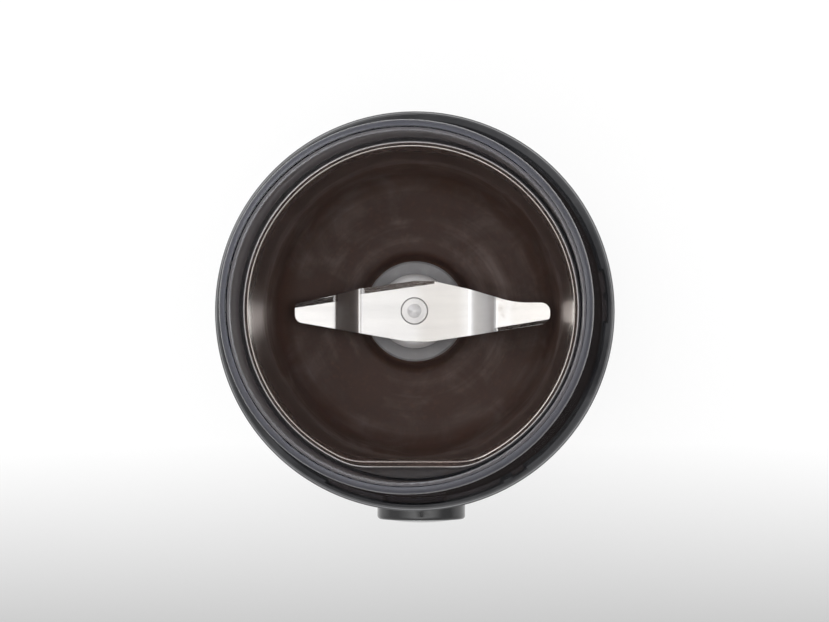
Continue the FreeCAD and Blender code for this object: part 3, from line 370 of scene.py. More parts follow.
def drawn_steel(name, steel, film_and_shade, film_top, film_floor):
    """Drawn stainless steel with fine turned rings, and a dark oily film that thickens towards the floor. The
    film is partly a real film and partly painted shade and painted reflection inside the bowl. The rim bead's
    brighter steel is a painted highlight, and the rim's flat top takes the film's colour as a painted
    reflection.
    """
    finish = Finish(name)
    radius, height = finish.radius, finish.z
    ring_marks = finish.cloud(0.00022, finish.point(radius, height, 0.0), detail=2.0, roughness=0.7)
    broad_rings = finish.cloud(0.0022, finish.point(radius, height, 0.0), detail=3.0)
    round_way = finish.point(finish.x / radius, finish.y / radius, height * 2.0)
    streaks = finish.cloud(0.5, round_way, detail=4.0, roughness=0.6)
    blotches = finish.cloud(0.011, detail=5.0, roughness=0.6, warp=0.6)
    specks = finish.spots(0.52, 0.7, 0.0011, detail=6.0, roughness=0.8)
    depth = finish.ramp(height, film_top, film_floor)
    inside = finish.ramp(radius, *BOWL_INSIDE)
    # The dark film grows towards the floor: partly a real oily film, partly painted shade and painted
    # reflection.
    cover = finish.ramp(depth + 0.22 + (streaks - 0.5) * 0.35 + (blotches - 0.5) * 0.3, 0.0, 0.6) * inside
    thick = finish.ramp(depth + (blotches - 0.5) * 0.6 + (broad_rings - 0.5) * 0.3, 0.6, 1.05) * inside
    stained_and_shaded = tuple(0.18 * s + 2.0 * f for s, f in zip(steel, film_and_shade))
    # Painted highlight: the rim bead's steel is made brighter so that its rounded edges shine.
    polished = finish.mixed(finish.ramp(height, *RIM_BEAD), steel, tuple(1.15 * s for s in steel))
    tinted = finish.mixed(cover * 0.8, polished, stained_and_shaded)
    # Painted reflection: the rim's flat top takes the dark film colour.
    rim_flat = finish.ramp(height, *RIM_FLAT, smooth=False)
    lumps = specks * 0.7 + finish.ramp(blotches, 0.3, 0.7, 0.0, 0.3)
    caked = finish.mixed(lumps, film_and_shade, shaded(film_and_shade, 1.9))
    return finish.opaque({
        "Base Color": finish.mixed(rim_flat * 0.85, finish.mixed(thick * 0.94, tinted, caked), film_and_shade),
        "Metallic": 1.0 - thick * 0.9,
        "Roughness": 0.16 + cover * 0.14 + thick * 0.3 + (streaks - 0.5) * 0.06,
        "Normal": finish.relief(ring_marks + specks * thick * 1.2, 0.00002, 0.45),
    })


BLADE_EDGES = (
    # direction across the ground edge, how far out it starts, and between which X it runs
    ((-0.1405, 0.99), 0.00536, (-0.0122, 0.0046)),
    ((-0.1513, 0.9885), 0.00486, (-0.03, -0.0172)),
    ((0.1592, -0.9873), 0.0066, (0.0176, 0.032)),
)


def long_grain_steel(name, colour, rivet_radius):
    """Stamped stainless steel brushed along the blade: soft bends, darker ground edges, small knocks. The
    darker ground edges are painted shade, and so are the dark ring round the rivet and the darker bend, right
    half of the flat and tip. The right arm is darker too, more where it is stained.
    """
    finish = Finish(name)
    along, across = finish.x, finish.y
    brushed, drawn_out = (finish.moved((0, 0, 0.02), (share, 1.0, 1.0)) for share in (0.03, 0.05))
    grain = finish.cloud(0.00016, brushed, detail=3.0, roughness=0.7)
    bands = finish.cloud(0.0018, drawn_out, detail=3.0)
    specks = finish.cloud(0.00035, detail=3.0, roughness=0.8)
    knocks = finish.ramp(finish.cells(0.0031), 0.03, 0.07, 1.0, 0.0)
    stain = finish.spots(0.52, 0.76, 0.0045, detail=5.0, roughness=0.7)
    ground = 0.0
    for (x, y), start, (left, right) in BLADE_EDGES:
        out = along * x + across * y
        within = finish.ramp(along, left, left + 0.0004) * finish.ramp(along, right, right - 0.0004)
        ground = finish.ramp(out, start - 0.00006, start + 0.00006) * within + ground
    # Painted shade: a thin dark ring in the gap round the rivet.
    painted_gap_shade = finish.ramp(abs(finish.radius - rivet_radius - 0.00006), 0.00016, 0.00004)
    worn = finish.ramp(bands, 0.3, 0.75, 0.0, 0.3) + stain * 0.12 + knocks * 0.25
    worn = worn + finish.ramp(specks, 0.3, 0.7, 0.0, 0.22)
    shade = finish.mixed(worn, colour, shaded(colour, 0.72))
    # Painted shade in a warm dark tone: the bend, the right half of the flat and the tip are darker. The right
    # arm is darker too, more where it is stained.
    bend = finish.ramp(along, 0.0126, 0.0136) * finish.ramp(along, 0.0172, 0.0138)
    right_arm_darkening = finish.ramp(along, 0.016, 0.0185) * finish.ramp(along, 0.0215, 0.019)
    dulled_and_painted_shade = finish.ramp(along, -0.001, 0.003) * finish.ramp(along, 0.0122, 0.0092)
    tip = finish.ramp(along, 0.0205, 0.0225)
    warm_dark_tone = tuple(channel * weight for channel, weight in zip(colour, (0.5, 0.43, 0.34)))
    darkened = bend * 0.3 + dulled_and_painted_shade * 0.22 + right_arm_darkening * (0.06 + stain * 0.35) + tip * (0.2 + stain * 0.15)
    shade = finish.mixed(darkened, shade, warm_dark_tone)
    # Painted shade: the ground edges turn dark.
    shade = finish.mixed(ground * 0.8, shade, shaded(colour, 0.34))
    shade = finish.mixed(painted_gap_shade * 0.8, shade, (0.06, 0.055, 0.05))
    rise = finish.ramp(along, 0.0126, 0.0182, 0.0, 1.0, smooth=False)
    drop = finish.ramp(along, -0.0146, -0.012, 0.0, 1.0, smooth=False)
    bow = (along - 0.0055) ** 2.0 * 2800.0
    bends = (rise ** 2.0 - rise) * 0.8 - (drop ** 2.0) * 0.9 + bow
    return finish.opaque({
        "Base Color": shade,
        "Metallic": 1.0 - painted_gap_shade * 0.6,
        "Roughness": finish.ramp(grain, 0.25, 0.75, 0.28, 0.42) + stain * 0.06 - ground * 0.08,
        "Normal": finish.relief(grain - knocks * 0.5, 0.000012, 0.5, finish.relief(bends, 0.001, 1.0)),
    })


def turned_metal(name, colour, roughness, pitch, metallic=1.0):
    """Metal turned about the motor's axis: fine rings, with broader bands between them."""
    finish = Finish(name)
    radius, height = finish.radius, finish.z
    rings = finish.cloud(pitch, finish.point(radius, height, 0.0), detail=2.0, roughness=0.7)
    bands = finish.cloud(pitch * 7.0, finish.point(radius, height, 0.0), detail=3.0)
    dulled_and_painted_shade = finish.spots(0.5, 0.75, 0.0035, detail=5.0, roughness=0.65)
    shade = finish.mixed(finish.ramp(bands, 0.3, 0.7, 0.0, 0.4) + dulled_and_painted_shade * 0.15, colour, shaded(colour, 0.75))
    return finish.opaque({
        "Base Color": shade,
        "Metallic": metallic,
        "Roughness": roughness + (rings - 0.5) * 0.12 + dulled_and_painted_shade * 0.08,
        "Normal": finish.relief(rings, pitch * 0.12, 0.5),
    })


# Finishes of the controls


def gloss_black(name, colour):
    """Polished black plastic with a soft swell and fingerprints."""
    finish = Finish(name)
    prints = finish.spots(0.48, 0.7, 0.0035, detail=6.0, roughness=0.7, warp=0.6)
    swell = finish.cloud(0.006, detail=1.0)
    fine = finish.cloud(0.0004, detail=2.0)
    paler = shaded(colour, 1.8, 0.004)
    return finish.opaque({
        "Base Color": finish.mixed(prints * 0.5, colour, paler),
        "Roughness": 0.19 + prints * 0.08 + (fine - 0.5) * 0.03,
        "Coat Weight": 0.5 - prints * 0.2,
        "Coat Roughness": 0.15,
        "Normal": finish.relief(fine, 0.000004, 0.3, finish.relief(swell, 0.00008, 0.25)),
    })


def pale_silver(name, colour, centre_height):
    """Silver-painted plastic: metal flakes and a faint brushing round the button's own middle."""
    finish = Finish(name)
    across, up = finish.x, finish.z - centre_height
    out = (across ** 2.0 + up ** 2.0) ** 0.5
    rings = finish.cloud(0.00014, finish.point(out, 0.0, 0.0), detail=2.0)
    flakes = finish.cells(0.00022)
    worn = finish.ramp(out + (finish.cloud(0.003, detail=5.0) - 0.5) * 0.003, 0.0072, 0.0082)
    sparkle = finish.mixed(finish.ramp(flakes, 0.1, 0.6), colour, shaded(colour, 0.8))
    return finish.opaque({
        "Base Color": finish.mixed(worn * 0.35, sparkle, shaded(colour, 0.6)),
        "Metallic": 0.35 + (flakes - 0.4) * 0.3,
        "Roughness": 0.34 + (rings - 0.5) * 0.14 + worn * 0.08,
        "Normal": finish.relief(rings + flakes * 0.3, 0.000008, 0.4),
    })


# Finishes of the motor and the inner parts


def stacked_sheets(name, colour, sheet):
    """Electrical steel stamped in thin sheets: dark joints between them, with light rust at the edges."""
    finish = Finish(name)
    height = finish.z
    saw = abs((height % sheet) / sheet - 0.5) * 2.0
    joint = finish.ramp(saw, 0.72, 0.95)
    uneven = finish.cloud(0.0009, finish.moved(stretch=(1.0, 1.0, 4.0)), detail=4.0)
    rust = finish.spots(0.55, 0.75, 0.005, detail=6.0, roughness=0.7)
    steel = finish.mixed(rust * 0.45, colour, (0.17, 0.085, 0.045))
    return finish.opaque({
        "Base Color": finish.mixed(joint * 0.75, steel, shaded(colour, 0.2)),
        "Metallic": 0.85 - rust * 0.4,
        "Roughness": 0.42 + (uneven - 0.5) * 0.2 + rust * 0.2,
        "Normal": finish.relief(uneven * 0.3 - joint, 0.00006, 0.7),
    })


def enamelled_copper(name, colour, strand, wound_on_axis):
    """Enamelled copper wire, with strands in relief where the solid is plain, and painted shade in the grooves
    between the turns.
    """
    finish = Finish(name)
    around = finish.point(finish.x, finish.y, finish.z)
    turns = finish.node(
        "ShaderNodeTexWave",
        {"wave_type": "BANDS", "bands_direction": "DIAGONAL" if wound_on_axis else "X"},
        {
            "Vector": around,
            "Scale": 0.314 / strand,
            "Distortion": 2.2 if wound_on_axis else 0.4,
            "Detail": 1.5,
        },
        "Fac",
    )
    varnish = finish.spots(0.45, 0.75, 0.004, detail=4.0)
    glints = finish.cloud(0.0008, detail=3.0)
    return finish.opaque({
        # Painted shade darkens the grooves between the turns. The varnish patches darken it too.
        "Base Color": finish.mixed((1.0 - turns) * 0.5 + varnish * 0.3, colour, shaded(colour, 0.45)),
        "Metallic": 0.8 - varnish * 0.25,
        "Roughness": 0.3 + (glints - 0.5) * 0.12 + varnish * 0.06,
        "Normal": finish.relief(turns, strand * 0.35, 0.8 if wound_on_axis else 0.15),
    })


def plain_metal(name, colour, roughness, spangle, metallic=1.0):
    """Plated, cast or folded metal: broad crystals or flow marks, fine scratches and light stains."""
    finish = Finish(name)
    crystals = finish.cells(spangle)
    scratches = finish.cloud(0.0006, finish.moved(turn=(0.4, 0.7, 0.3), stretch=(0.06, 1.0, 1.0)), detail=4.0)
    stains = finish.spots(0.55, 0.78, 0.006, detail=6.0, roughness=0.7)
    shade = finish.mixed(finish.ramp(crystals, 0.1, 0.7, 0.0, 0.3), colour, shaded(colour, 0.75))
    return finish.opaque({
        "Base Color": finish.mixed(stains * 0.3, shade, (0.2, 0.17, 0.13)),
        "Metallic": metallic,
        "Roughness": roughness + (crystals - 0.4) * 0.08 + (scratches - 0.5) * 0.12 + stains * 0.1,
        "Normal": finish.relief(scratches + crystals * 0.4, 0.00002, 0.4),
    })


def porous_bronze(name, colour):
    """Oil-filled sintered bronze: open pores and dark oily patches."""
    finish = Finish(name)
    pores = finish.ramp(finish.cells(0.0004), 0.12, 0.3, 1.0, 0.0)
    oil = finish.spots(0.45, 0.7, 0.003, detail=4.0)
    return finish.opaque({
        "Base Color": finish.mixed(pores * 0.6 + oil * 0.3, colour, shaded(colour, 0.3)),
        "Metallic": 0.9,
        "Roughness": 0.45 - oil * 0.15 + pores * 0.2,
        "Normal": finish.relief(1.0 - pores, 0.00003, 0.7),
    })


def filled_plastic(name, colour, roughness, fibre):
    """Moulded engineering plastic with short fibres at its surface and flow marks."""
    finish = Finish(name)
    lying = finish.moved(turn=(0.2, 0.5, 0.8), stretch=(0.2, 1.0, 1.0))
    fibres = finish.ramp(finish.cloud(0.0005, lying, detail=3.0), 0.5, 0.75)
    flow = finish.cloud(0.014, detail=3.0, warp=1.2)
    fine = finish.cloud(0.0003, detail=2.0)
    paler = shaded(colour, 1.0 + fibre, 0.02 * fibre)
    return finish.opaque({
        "Base Color": finish.mixed(fibres * 0.5 + finish.ramp(flow, 0.3, 0.7, 0.0, 0.4), colour, paler),
        "Roughness": roughness + (fine - 0.5) * 0.14 + (flow - 0.5) * 0.1,
        "Normal": finish.relief(fine + fibres * 0.5, 0.00003, 0.5),
    })


def pressed_carbon(name, colour):
    """Pressed carbon: fine grains with a graphite glint."""
    finish = Finish(name)
    grains = finish.cells(0.00035)
    glint = finish.spots(0.5, 0.7, 0.0006, detail=5.0)
    return finish.opaque({
        "Base Color": finish.mixed(glint * 0.5, colour, shaded(colour, 2.5)),
        "Metallic": glint * 0.4,
        "Roughness": 0.55 - glint * 0.2 + (grains - 0.4) * 0.1,
        "Normal": finish.relief(grains, 0.00002, 0.6),
    })


# Meshes


def lathe(outline, steps=128):
    """A closed outline of (radius, height) points turned round the Z axis, faces outwards."""
    shape = bmesh.new()
    loop = [shape.verts.new((radius, 0.0, height)) for radius, height in outline]
    edges = [shape.edges.new((loop[index - 1], loop[index])) for index in range(len(loop))]
    bmesh.ops.spin(shape, geom=loop + edges, axis=(0, 0, 1), cent=(0, 0, 0), angle=2 * math.pi, steps=steps)
    bmesh.ops.remove_doubles(shape, verts=shape.verts, dist=1e-7)
    bmesh.ops.recalc_face_normals(shape, faces=shape.faces)
    return shape


def rounded(outline, corners=4):
    """An outline whose corners given as (radius, height, size) are rounded."""
    points = []
    count = len(outline)
    for index, corner in enumerate(outline):
        here = Vector(corner[:2])
        if len(corner) < 3:
            points.append(tuple(here))
            continue
        back = (Vector(outline[index - 1][:2]) - here).normalized()
        onward = (Vector(outline[(index + 1) % count][:2]) - here).normalized()
        half = back.angle(onward) / 2
        trim = corner[2] / math.tan(half)
        start, end = here + back * trim, here + onward * trim
        for step in range(corners + 1):
            share = step / corners
            points.append(tuple(start.lerp(here, share).lerp(here.lerp(end, share), share)))
    return points


def finished_mesh(shape, name, sharp=35.0):
    """A mesh from a shape, shaded smooth except at its sharp edges."""
    for face in shape.faces:
        face.smooth = True
    for edge in shape.edges:
        edge.smooth = edge.is_manifold and edge.calc_face_angle(0.0) < math.radians(sharp)
    mesh = bpy.data.meshes.new(name)
    shape.to_mesh(mesh)
    shape.free()
    return mesh


def new_piece(name, mesh, material):
    """An object in the scene at the origin, with its mesh and material."""
    piece = bpy.data.objects.new(name, mesh)
    bpy.context.scene.collection.objects.link(piece)
    if material is not None:
        mesh.materials.clear()
        mesh.materials.append(material)
    return piece


def grown(name, tree, values, seed_mesh=None):
    """The plain mesh that a geometry tree makes from a seed mesh and named values."""
    carrier = new_piece(name + "_carrier", seed_mesh or bpy.data.meshes.new(name + "_seed"), None)
    modifier = carrier.modifiers.new(name, "NODES")
    modifier.node_group = tree
    for item in tree.interface.items_tree:
        if item.item_type == "SOCKET" and item.in_out == "INPUT" and item.name in values:
            modifier[item.identifier] = values[item.name]
    evaluated = carrier.evaluated_get(bpy.context.evaluated_depsgraph_get())
    mesh = bpy.data.meshes.new_from_object(evaluated)
    carrier.modifiers.remove(modifier)
    bpy.data.objects.remove(carrier)
    mesh.name = name
    return mesh


def joined(meshes, places=None):
    """One shape from several meshes, each moved by its own matrix."""
    shape = bmesh.new()
    for index, mesh in enumerate(meshes):
        copy = mesh.copy()
        if places:
            copy.transform(places[index])
        shape.from_mesh(copy)
        bpy.data.meshes.remove(copy)
    return shape


# Geometry trees


def new_tree(name, inputs):
    """A geometry tree with named inputs, from their kinds or default numbers. Gives its wiring and inputs."""
    tree = bpy.data.node_groups.new(name, "GeometryNodeTree")
    for label, default in inputs.items():
        number = not isinstance(default, str)
        kind = type(default).__name__.capitalize() if number else default
        socket = tree.interface.new_socket(label, in_out="INPUT", socket_type="NodeSocket" + kind)
        if number:
            socket.default_value = default
    tree.interface.new_socket("Geometry", in_out="OUTPUT", socket_type="NodeSocketGeometry")
    wiring = Wiring(tree)
    entry = tree.nodes.new("NodeGroupInput")
    return wiring, {label: Quantity(wiring, entry.outputs[label]) for label in inputs}


def close_tree(wiring, geometry, material):
    """Ends a tree: its copies become plain faces with one material."""
    plain = wiring.node("GeometryNodeRealizeInstances", {}, {0: geometry})
    coated = wiring.node("GeometryNodeSetMaterial", {}, {"Geometry": plain, "Material": material})
    wiring.node("NodeGroupOutput", {}, {"Geometry": coated})
    return wiring.tree


def close_wire(wiring, given, curve, sides):
    """Ends a tree with round wire along a curve."""
    sockets = {"Resolution": sides, "Radius": given["Wire Radius"]}
    section = wiring.node("GeometryNodeCurvePrimitiveCircle", {}, sockets)
    wire = wiring.node("GeometryNodeCurveToMesh", {}, {**curve, "Profile Curve": section})
    smooth = wiring.node("GeometryNodeSetShadeSmooth", {}, {"Geometry": wire})
    return close_tree(wiring, smooth, given["Material"])


def ring_tree():
    """Copies of a shape spaced evenly on a ring, each turned to face outwards."""
    wiring, given = new_tree("copies_on_a_ring", {
        "Shape": "Geometry",
        "Count": 3,
        "Ring Radius": 0.03,
        "First Angle": 0.0,
        "Height": 0.0,
        "Material": "Material",
    })
    places = wiring.node("GeometryNodePoints", {}, {"Count": given["Count"]})
    angle = given["First Angle"] + wiring.node("GeometryNodeInputIndex") * (2 * math.pi) / given["Count"]
    x = wiring.node("ShaderNodeMath", {"operation": "COSINE"}, {0: angle}) * given["Ring Radius"]
    y = wiring.node("ShaderNodeMath", {"operation": "SINE"}, {0: angle}) * given["Ring Radius"]
    spot = wiring.node("ShaderNodeCombineXYZ", {}, {"X": x, "Y": y, "Z": given["Height"]})
    set_down = wiring.node("GeometryNodeSetPosition", {}, {"Geometry": places, "Position": spot})
    turn = wiring.node("ShaderNodeCombineXYZ", {}, {"Z": angle})
    sockets = {"Points": set_down, "Instance": given["Shape"], "Rotation": turn}
    copies = wiring.node("GeometryNodeInstanceOnPoints", {}, sockets)
    return close_tree(wiring, copies, given["Material"])


def corner_tree():
    """Copies of a shape at the four corners of a rectangle."""
    wiring, given = new_tree("copies_at_corners", {
        "Shape": "Geometry",
        "Width": 0.04,
        "Depth": 0.03,
        "Height": 0.0,
        "Material": "Material",
    })
    sockets = {"Size X": given["Width"], "Size Y": given["Depth"], "Vertices X": 2, "Vertices Y": 2}
    corners = wiring.node("GeometryNodeMeshGrid", {}, sockets)
    lift = wiring.node("ShaderNodeCombineXYZ", {}, {"Z": given["Height"]})
    raised = wiring.node("GeometryNodeSetPosition", {}, {"Geometry": corners, "Offset": lift})
    copies = wiring.node("GeometryNodeInstanceOnPoints", {}, {"Points": raised, "Instance": given["Shape"]})
    return close_tree(wiring, copies, given["Material"])


def winding_tree():
    """A coil of wire: rectangular turns with round corners, in rows along X and layers outwards."""
    wiring, given = new_tree("wound_turns", {
        "Width": 0.0228,
        "Length": 0.0232,
        "Corner": 0.0006,
        "Rows": 8,
        "Layers": 9,
        "Pitch": 0.00064,
        "Growth": 0.055,
        "Wire Radius": 0.00031,
        "Material": "Material",
    })
    turn = wiring.node("GeometryNodeCurvePrimitiveQuadrilateral", {}, {0: given["Length"], 1: given["Width"]})
    sockets = {"Curve": turn, "Radius": given["Corner"], "Count": 5}
    soft = wiring.node("GeometryNodeFilletCurve", {"mode": "POLY"}, sockets)
    upright = wiring.node("GeometryNodeTransform", {}, {"Geometry": soft, "Rotation": (0.0, math.pi / 2, 0.0)})
    places = wiring.node("GeometryNodePoints", {}, {"Count": given["Rows"] * given["Layers"]})
    index = wiring.node("GeometryNodeInputIndex")
    row = index % given["Rows"]
    layer = (index - row) / given["Rows"]
    spot = wiring.node("ShaderNodeCombineXYZ", {}, {"X": row * given["Pitch"]})
    set_down = wiring.node("GeometryNodeSetPosition", {}, {"Geometry": places, "Position": spot})
    larger = 1.0 + layer * given["Growth"]
    size = wiring.node("ShaderNodeCombineXYZ", {}, {"X": 1.0, "Y": larger, "Z": larger})
    sockets = {"Points": set_down, "Instance": upright, "Scale": size}
    copies = wiring.node("GeometryNodeInstanceOnPoints", {}, sockets)
    lines = wiring.node("GeometryNodeRealizeInstances", {}, {0: copies})
    return close_wire(wiring, given, {"Curve": lines}, 6)


def spring_tree():
    """A round-wire coil spring that stands on the origin along +Z."""
    wiring, given = new_tree("coil_spring", {
        "Turns": 4.0,
        "Mean Radius": 0.003,
        "Length": 0.005,
        "Wire Radius": 0.0003,
        "Material": "Material",
    })
    rise = given["Length"] - given["Wire Radius"] * 2.0
    helix = wiring.node("GeometryNodeCurveSpiral", {}, {
        "Resolution": 28,
        "Rotations": given["Turns"],
        "Start Radius": given["Mean Radius"],
        "End Radius": given["Mean Radius"],
        "Height": rise,
    })
    lift = wiring.node("ShaderNodeCombineXYZ", {}, {"Z": given["Wire Radius"]})
    raised = wiring.node("GeometryNodeSetPosition", {}, {"Geometry": helix, "Offset": lift})
    return close_wire(wiring, given, {"Curve": raised, "Fill Caps": True}, 10)


# Settings


def colour_choice(name, description, default):
    """A colour to choose in the sidebar."""
    return bpy.props.FloatVectorProperty(
        name=name, description=description, subtype="COLOR", size=3, min=0.0, max=1.0, default=default
    )


def share_choice(name, description, low, high, default):
    """A share to choose in the sidebar, between two limits."""
    return bpy.props.FloatProperty(
        name=name, description=description, subtype="FACTOR", min=low, max=high, default=default
    )


def number_choice(name, description, low, default, unit="NONE"):
    """A number to choose in the sidebar, with a lower limit."""
    return bpy.props.FloatProperty(name=name, description=description, unit=unit, min=low, default=default)


def length_choice(name, description, default, low=0.0):
    """A length to choose in the sidebar, with a lower limit."""
    return number_choice(name, description, low, default, "LENGTH")


def count_choice(name, description, low, high, default):
    """A whole number to choose in the sidebar, between two limits."""
    return bpy.props.IntProperty(name=name, description=description, min=low, max=high, default=default)


def place_choice(name, description, default):
    """A place to choose in the sidebar."""
    return bpy.props.FloatVectorProperty(
        name=name, description=description, subtype="TRANSLATION", unit="LENGTH", size=3, default=default
    )


class CasingSettings(bpy.types.PropertyGroup):
    """Colours and texture of the housing and the collar."""

    housing_colour: colour_choice("Housing Colour", "Colour of the moulded housing", (0.016, 0.016, 0.017))
    collar_colour: colour_choice("Collar Colour", "Colour of the ring under the lid", (0.031, 0.031, 0.033))
    dust: colour_choice("Dust", "Colour of the brown dust on the sleeve round the bowl", (0.075, 0.05, 0.038))
    inner_colour: colour_choice("Inner Colour", "Colour of base cover and cord clamp", (0.03, 0.03, 0.031))
    gloss: share_choice("Roughness", "Roughness of the housing, from polished to matt", 0.05, 0.9, 0.27)
    grain: length_choice("Grain", "Width of the moulded texture's lumps", 0.00035, 0.00005)


class LidSettings(bpy.types.PropertyGroup):
    """Tint and haze of the clear lid."""

    tint: colour_choice("Tint", "Colour that the clear plastic gives the light", (0.925, 0.938, 0.965))
    haze: share_choice("Haze", "Roughness of the clean plastic", 0.0, 0.3, 0.0)
    dust: colour_choice("Dust", "Colour of the fine dust on the lid's inner wall", (0.062, 0.046, 0.042))


class ChamberSettings(bpy.types.PropertyGroup):
    """Metals of the grinding chamber."""

    bowl_colour: colour_choice("Bowl Steel", "Colour of the bowl's clean steel", (0.66, 0.62, 0.58))
    # The film's colour and heights stand both for an oily film and for painted shade and painted reflection
    # inside the bowl.
    film_colour: colour_choice("Film", "Colour of the oily film on the bowl's inside", (0.052, 0.021, 0.011))
    film_top: length_choice("Film Top", "Height where the film begins", 0.146)
    film_floor: length_choice("Film Floor", "Height below which the film is thick", 0.112)
    blade_colour: colour_choice("Blade Steel", "Colour of the blade", (0.975, 0.97, 0.94))
    hub_colour: colour_choice("Hub", "Colour of the turned hub under the blade", (0.95, 0.945, 0.92))


class FootSettings(bpy.types.PropertyGroup):
    """Tread of the rubber foot ring."""

    pads: count_choice("Pads", "Number of pads round the ring", 12, 120, 60)
    groove: length_choice("Groove", "Depth of the grooves between the pads", 0.0007)


class ScrewSettings(bpy.types.PropertyGroup):
    """Heads of the cross-recessed screws."""

    recess: share_choice("Recess", "Width of the cross, as a share of the head's", 0.2, 0.9, 0.6)
    crown: share_choice("Crown", "Roundness of the head's edge, as a share of its height", 0.05, 0.9, 0.55)


class MotorSettings(bpy.types.PropertyGroup):
    """Windings and sheets of the motor."""

    rows: count_choice("Rows", "Turns side by side in a field coil", 2, 16, 8)
    layers: count_choice("Layers", "Turns on top of each other", 2, 16, 9)
    sheet: length_choice("Sheet", "Thickness of one sheet in the stacks", 0.0005, 0.0001)
    copper: colour_choice("Copper", "Colour of the enamelled wire", (0.62, 0.24, 0.09))


class ControlSettings(bpy.types.PropertyGroup):
    """Button, switches and springs."""

    button_colour: colour_choice("Button", "Colour of the button's cap", (0.01, 0.01, 0.011))
    face_colour: colour_choice("Button Face", "Colour of the domed disc in the button", (0.68, 0.69, 0.69))
    turns: number_choice("Spring Turns", "Turns of each coil spring", 2.0, 5.0)


class StudioSettings(bpy.types.PropertyGroup):
    """Camera, floor and light."""

    camera_place: place_choice("Camera Place", "Where the camera stands", (0.021, -0.011, 0.912))
    aim: place_choice("Aim", "Point that the camera looks at", (0.0, 0.0, 0.112))
    lens: number_choice("Lens", "Focal length of the camera, in millimetres", 20.0, 156.33)
    tent: number_choice("Tent", "Brightness of the white tent round the object", 0.0, 2.29)
    lamp_power: number_choice("Lamp Power", "Power of the main soft lamp", 0.0, 3.0, "POWER")
    floor_far: share_choice("Floor Behind", "Brightness of the floor behind the object", 0.0, 1.0, 1.0)
    floor_near: share_choice("Floor in Front", "Brightness of the floor in front of the object", 0.0, 1.0, 0.6)


# Operators: one for each piece or group of like pieces


class GRINDER_OT_casing(bpy.types.Operator):
    """Finish the housing, the collar, the base cover and the cord's fittings"""

    bl_idname = "grinder.casing"
    bl_label = "Casing"

    def execute(self, context):
        chosen = context.scene.grinder_casing
        shell, ring = tuple(chosen.housing_colour), tuple(chosen.collar_colour)
        housing = moulded_black("housing_black", shell, chosen.gloss, chosen.grain, 0.000012)
        collar = moulded_black("collar_black", ring, 0.16, 0.0003, 0.000004, COLLAR_EDGE)
        cover = filled_plastic("base_cover_black", tuple(chosen.inner_colour), 0.5, 0.8)
        wear(["housing"], housing)
        wear(["collar"], collar)
        neck = dusted_black("neck_black", ring, tuple(chosen.dust))
        wear(["bowl_neck"], neck)
        wear(["base_cover", "cord_clamp"], cover)
        rubber = soft_rubber("bushing_rubber", (0.022, 0.022, 0.023), 0.55, 0.02)
        wear(["cord_bushing", "rubber_mounts"], rubber)
        wear(["chassis"], filled_plastic("chassis_nylon", (0.17, 0.17, 0.18), 0.5, 0.5))
        return {"FINISHED"}


class GRINDER_OT_lid(bpy.types.Operator):
    """Finish the clear lid"""

    bl_idname = "grinder.lid"
    bl_label = "Clear Lid"

    def execute(self, context):
        chosen = context.scene.grinder_lid
        clear = clear_plastic("lid_clear", tuple(chosen.tint), chosen.haze, tuple(chosen.dust))
        wear(["lid"], clear)
        return {"FINISHED"}


class GRINDER_OT_chamber(bpy.types.Operator):
    """Finish the bowl, its gasket and the shaft's seal"""

    bl_idname = "grinder.chamber"
    bl_label = "Grinding Bowl"

    def execute(self, context):
        chosen = context.scene.grinder_chamber
        clean, film_and_shade = tuple(chosen.bowl_colour), tuple(chosen.film_colour)
        steel = drawn_steel("bowl_steel", clean, film_and_shade, chosen.film_top, chosen.film_floor)
        wear(["grinding_bowl"], steel)
        wear(["bowl_gasket"], soft_rubber("gasket_rubber", (0.015, 0.015, 0.015), 0.6, 0.02))
        wear(["shaft_seal"], soft_rubber("seal_silicone", (0.34, 0.335, 0.33), 0.45, 0.14))
        return {"FINISHED"}


class GRINDER_OT_blade(bpy.types.Operator):
    """Finish the blade, its hub and the riveted shaft"""

    bl_idname = "grinder.blade"
    bl_label = "Blade"

    def execute(self, context):
        chosen = context.scene.grinder_chamber
        blade = long_grain_steel("blade_steel", tuple(chosen.blade_colour), RIVET_RADIUS)
        wear(["blade"], blade)
        wear(["blade_hub"], turned_metal("hub_metal", tuple(chosen.hub_colour), 0.4, 0.00025, 0.2))
        wear(["shaft"], turned_metal("shaft_steel", (0.84, 0.83, 0.8), 0.38, 0.0003, 0.7))
        return {"FINISHED"}


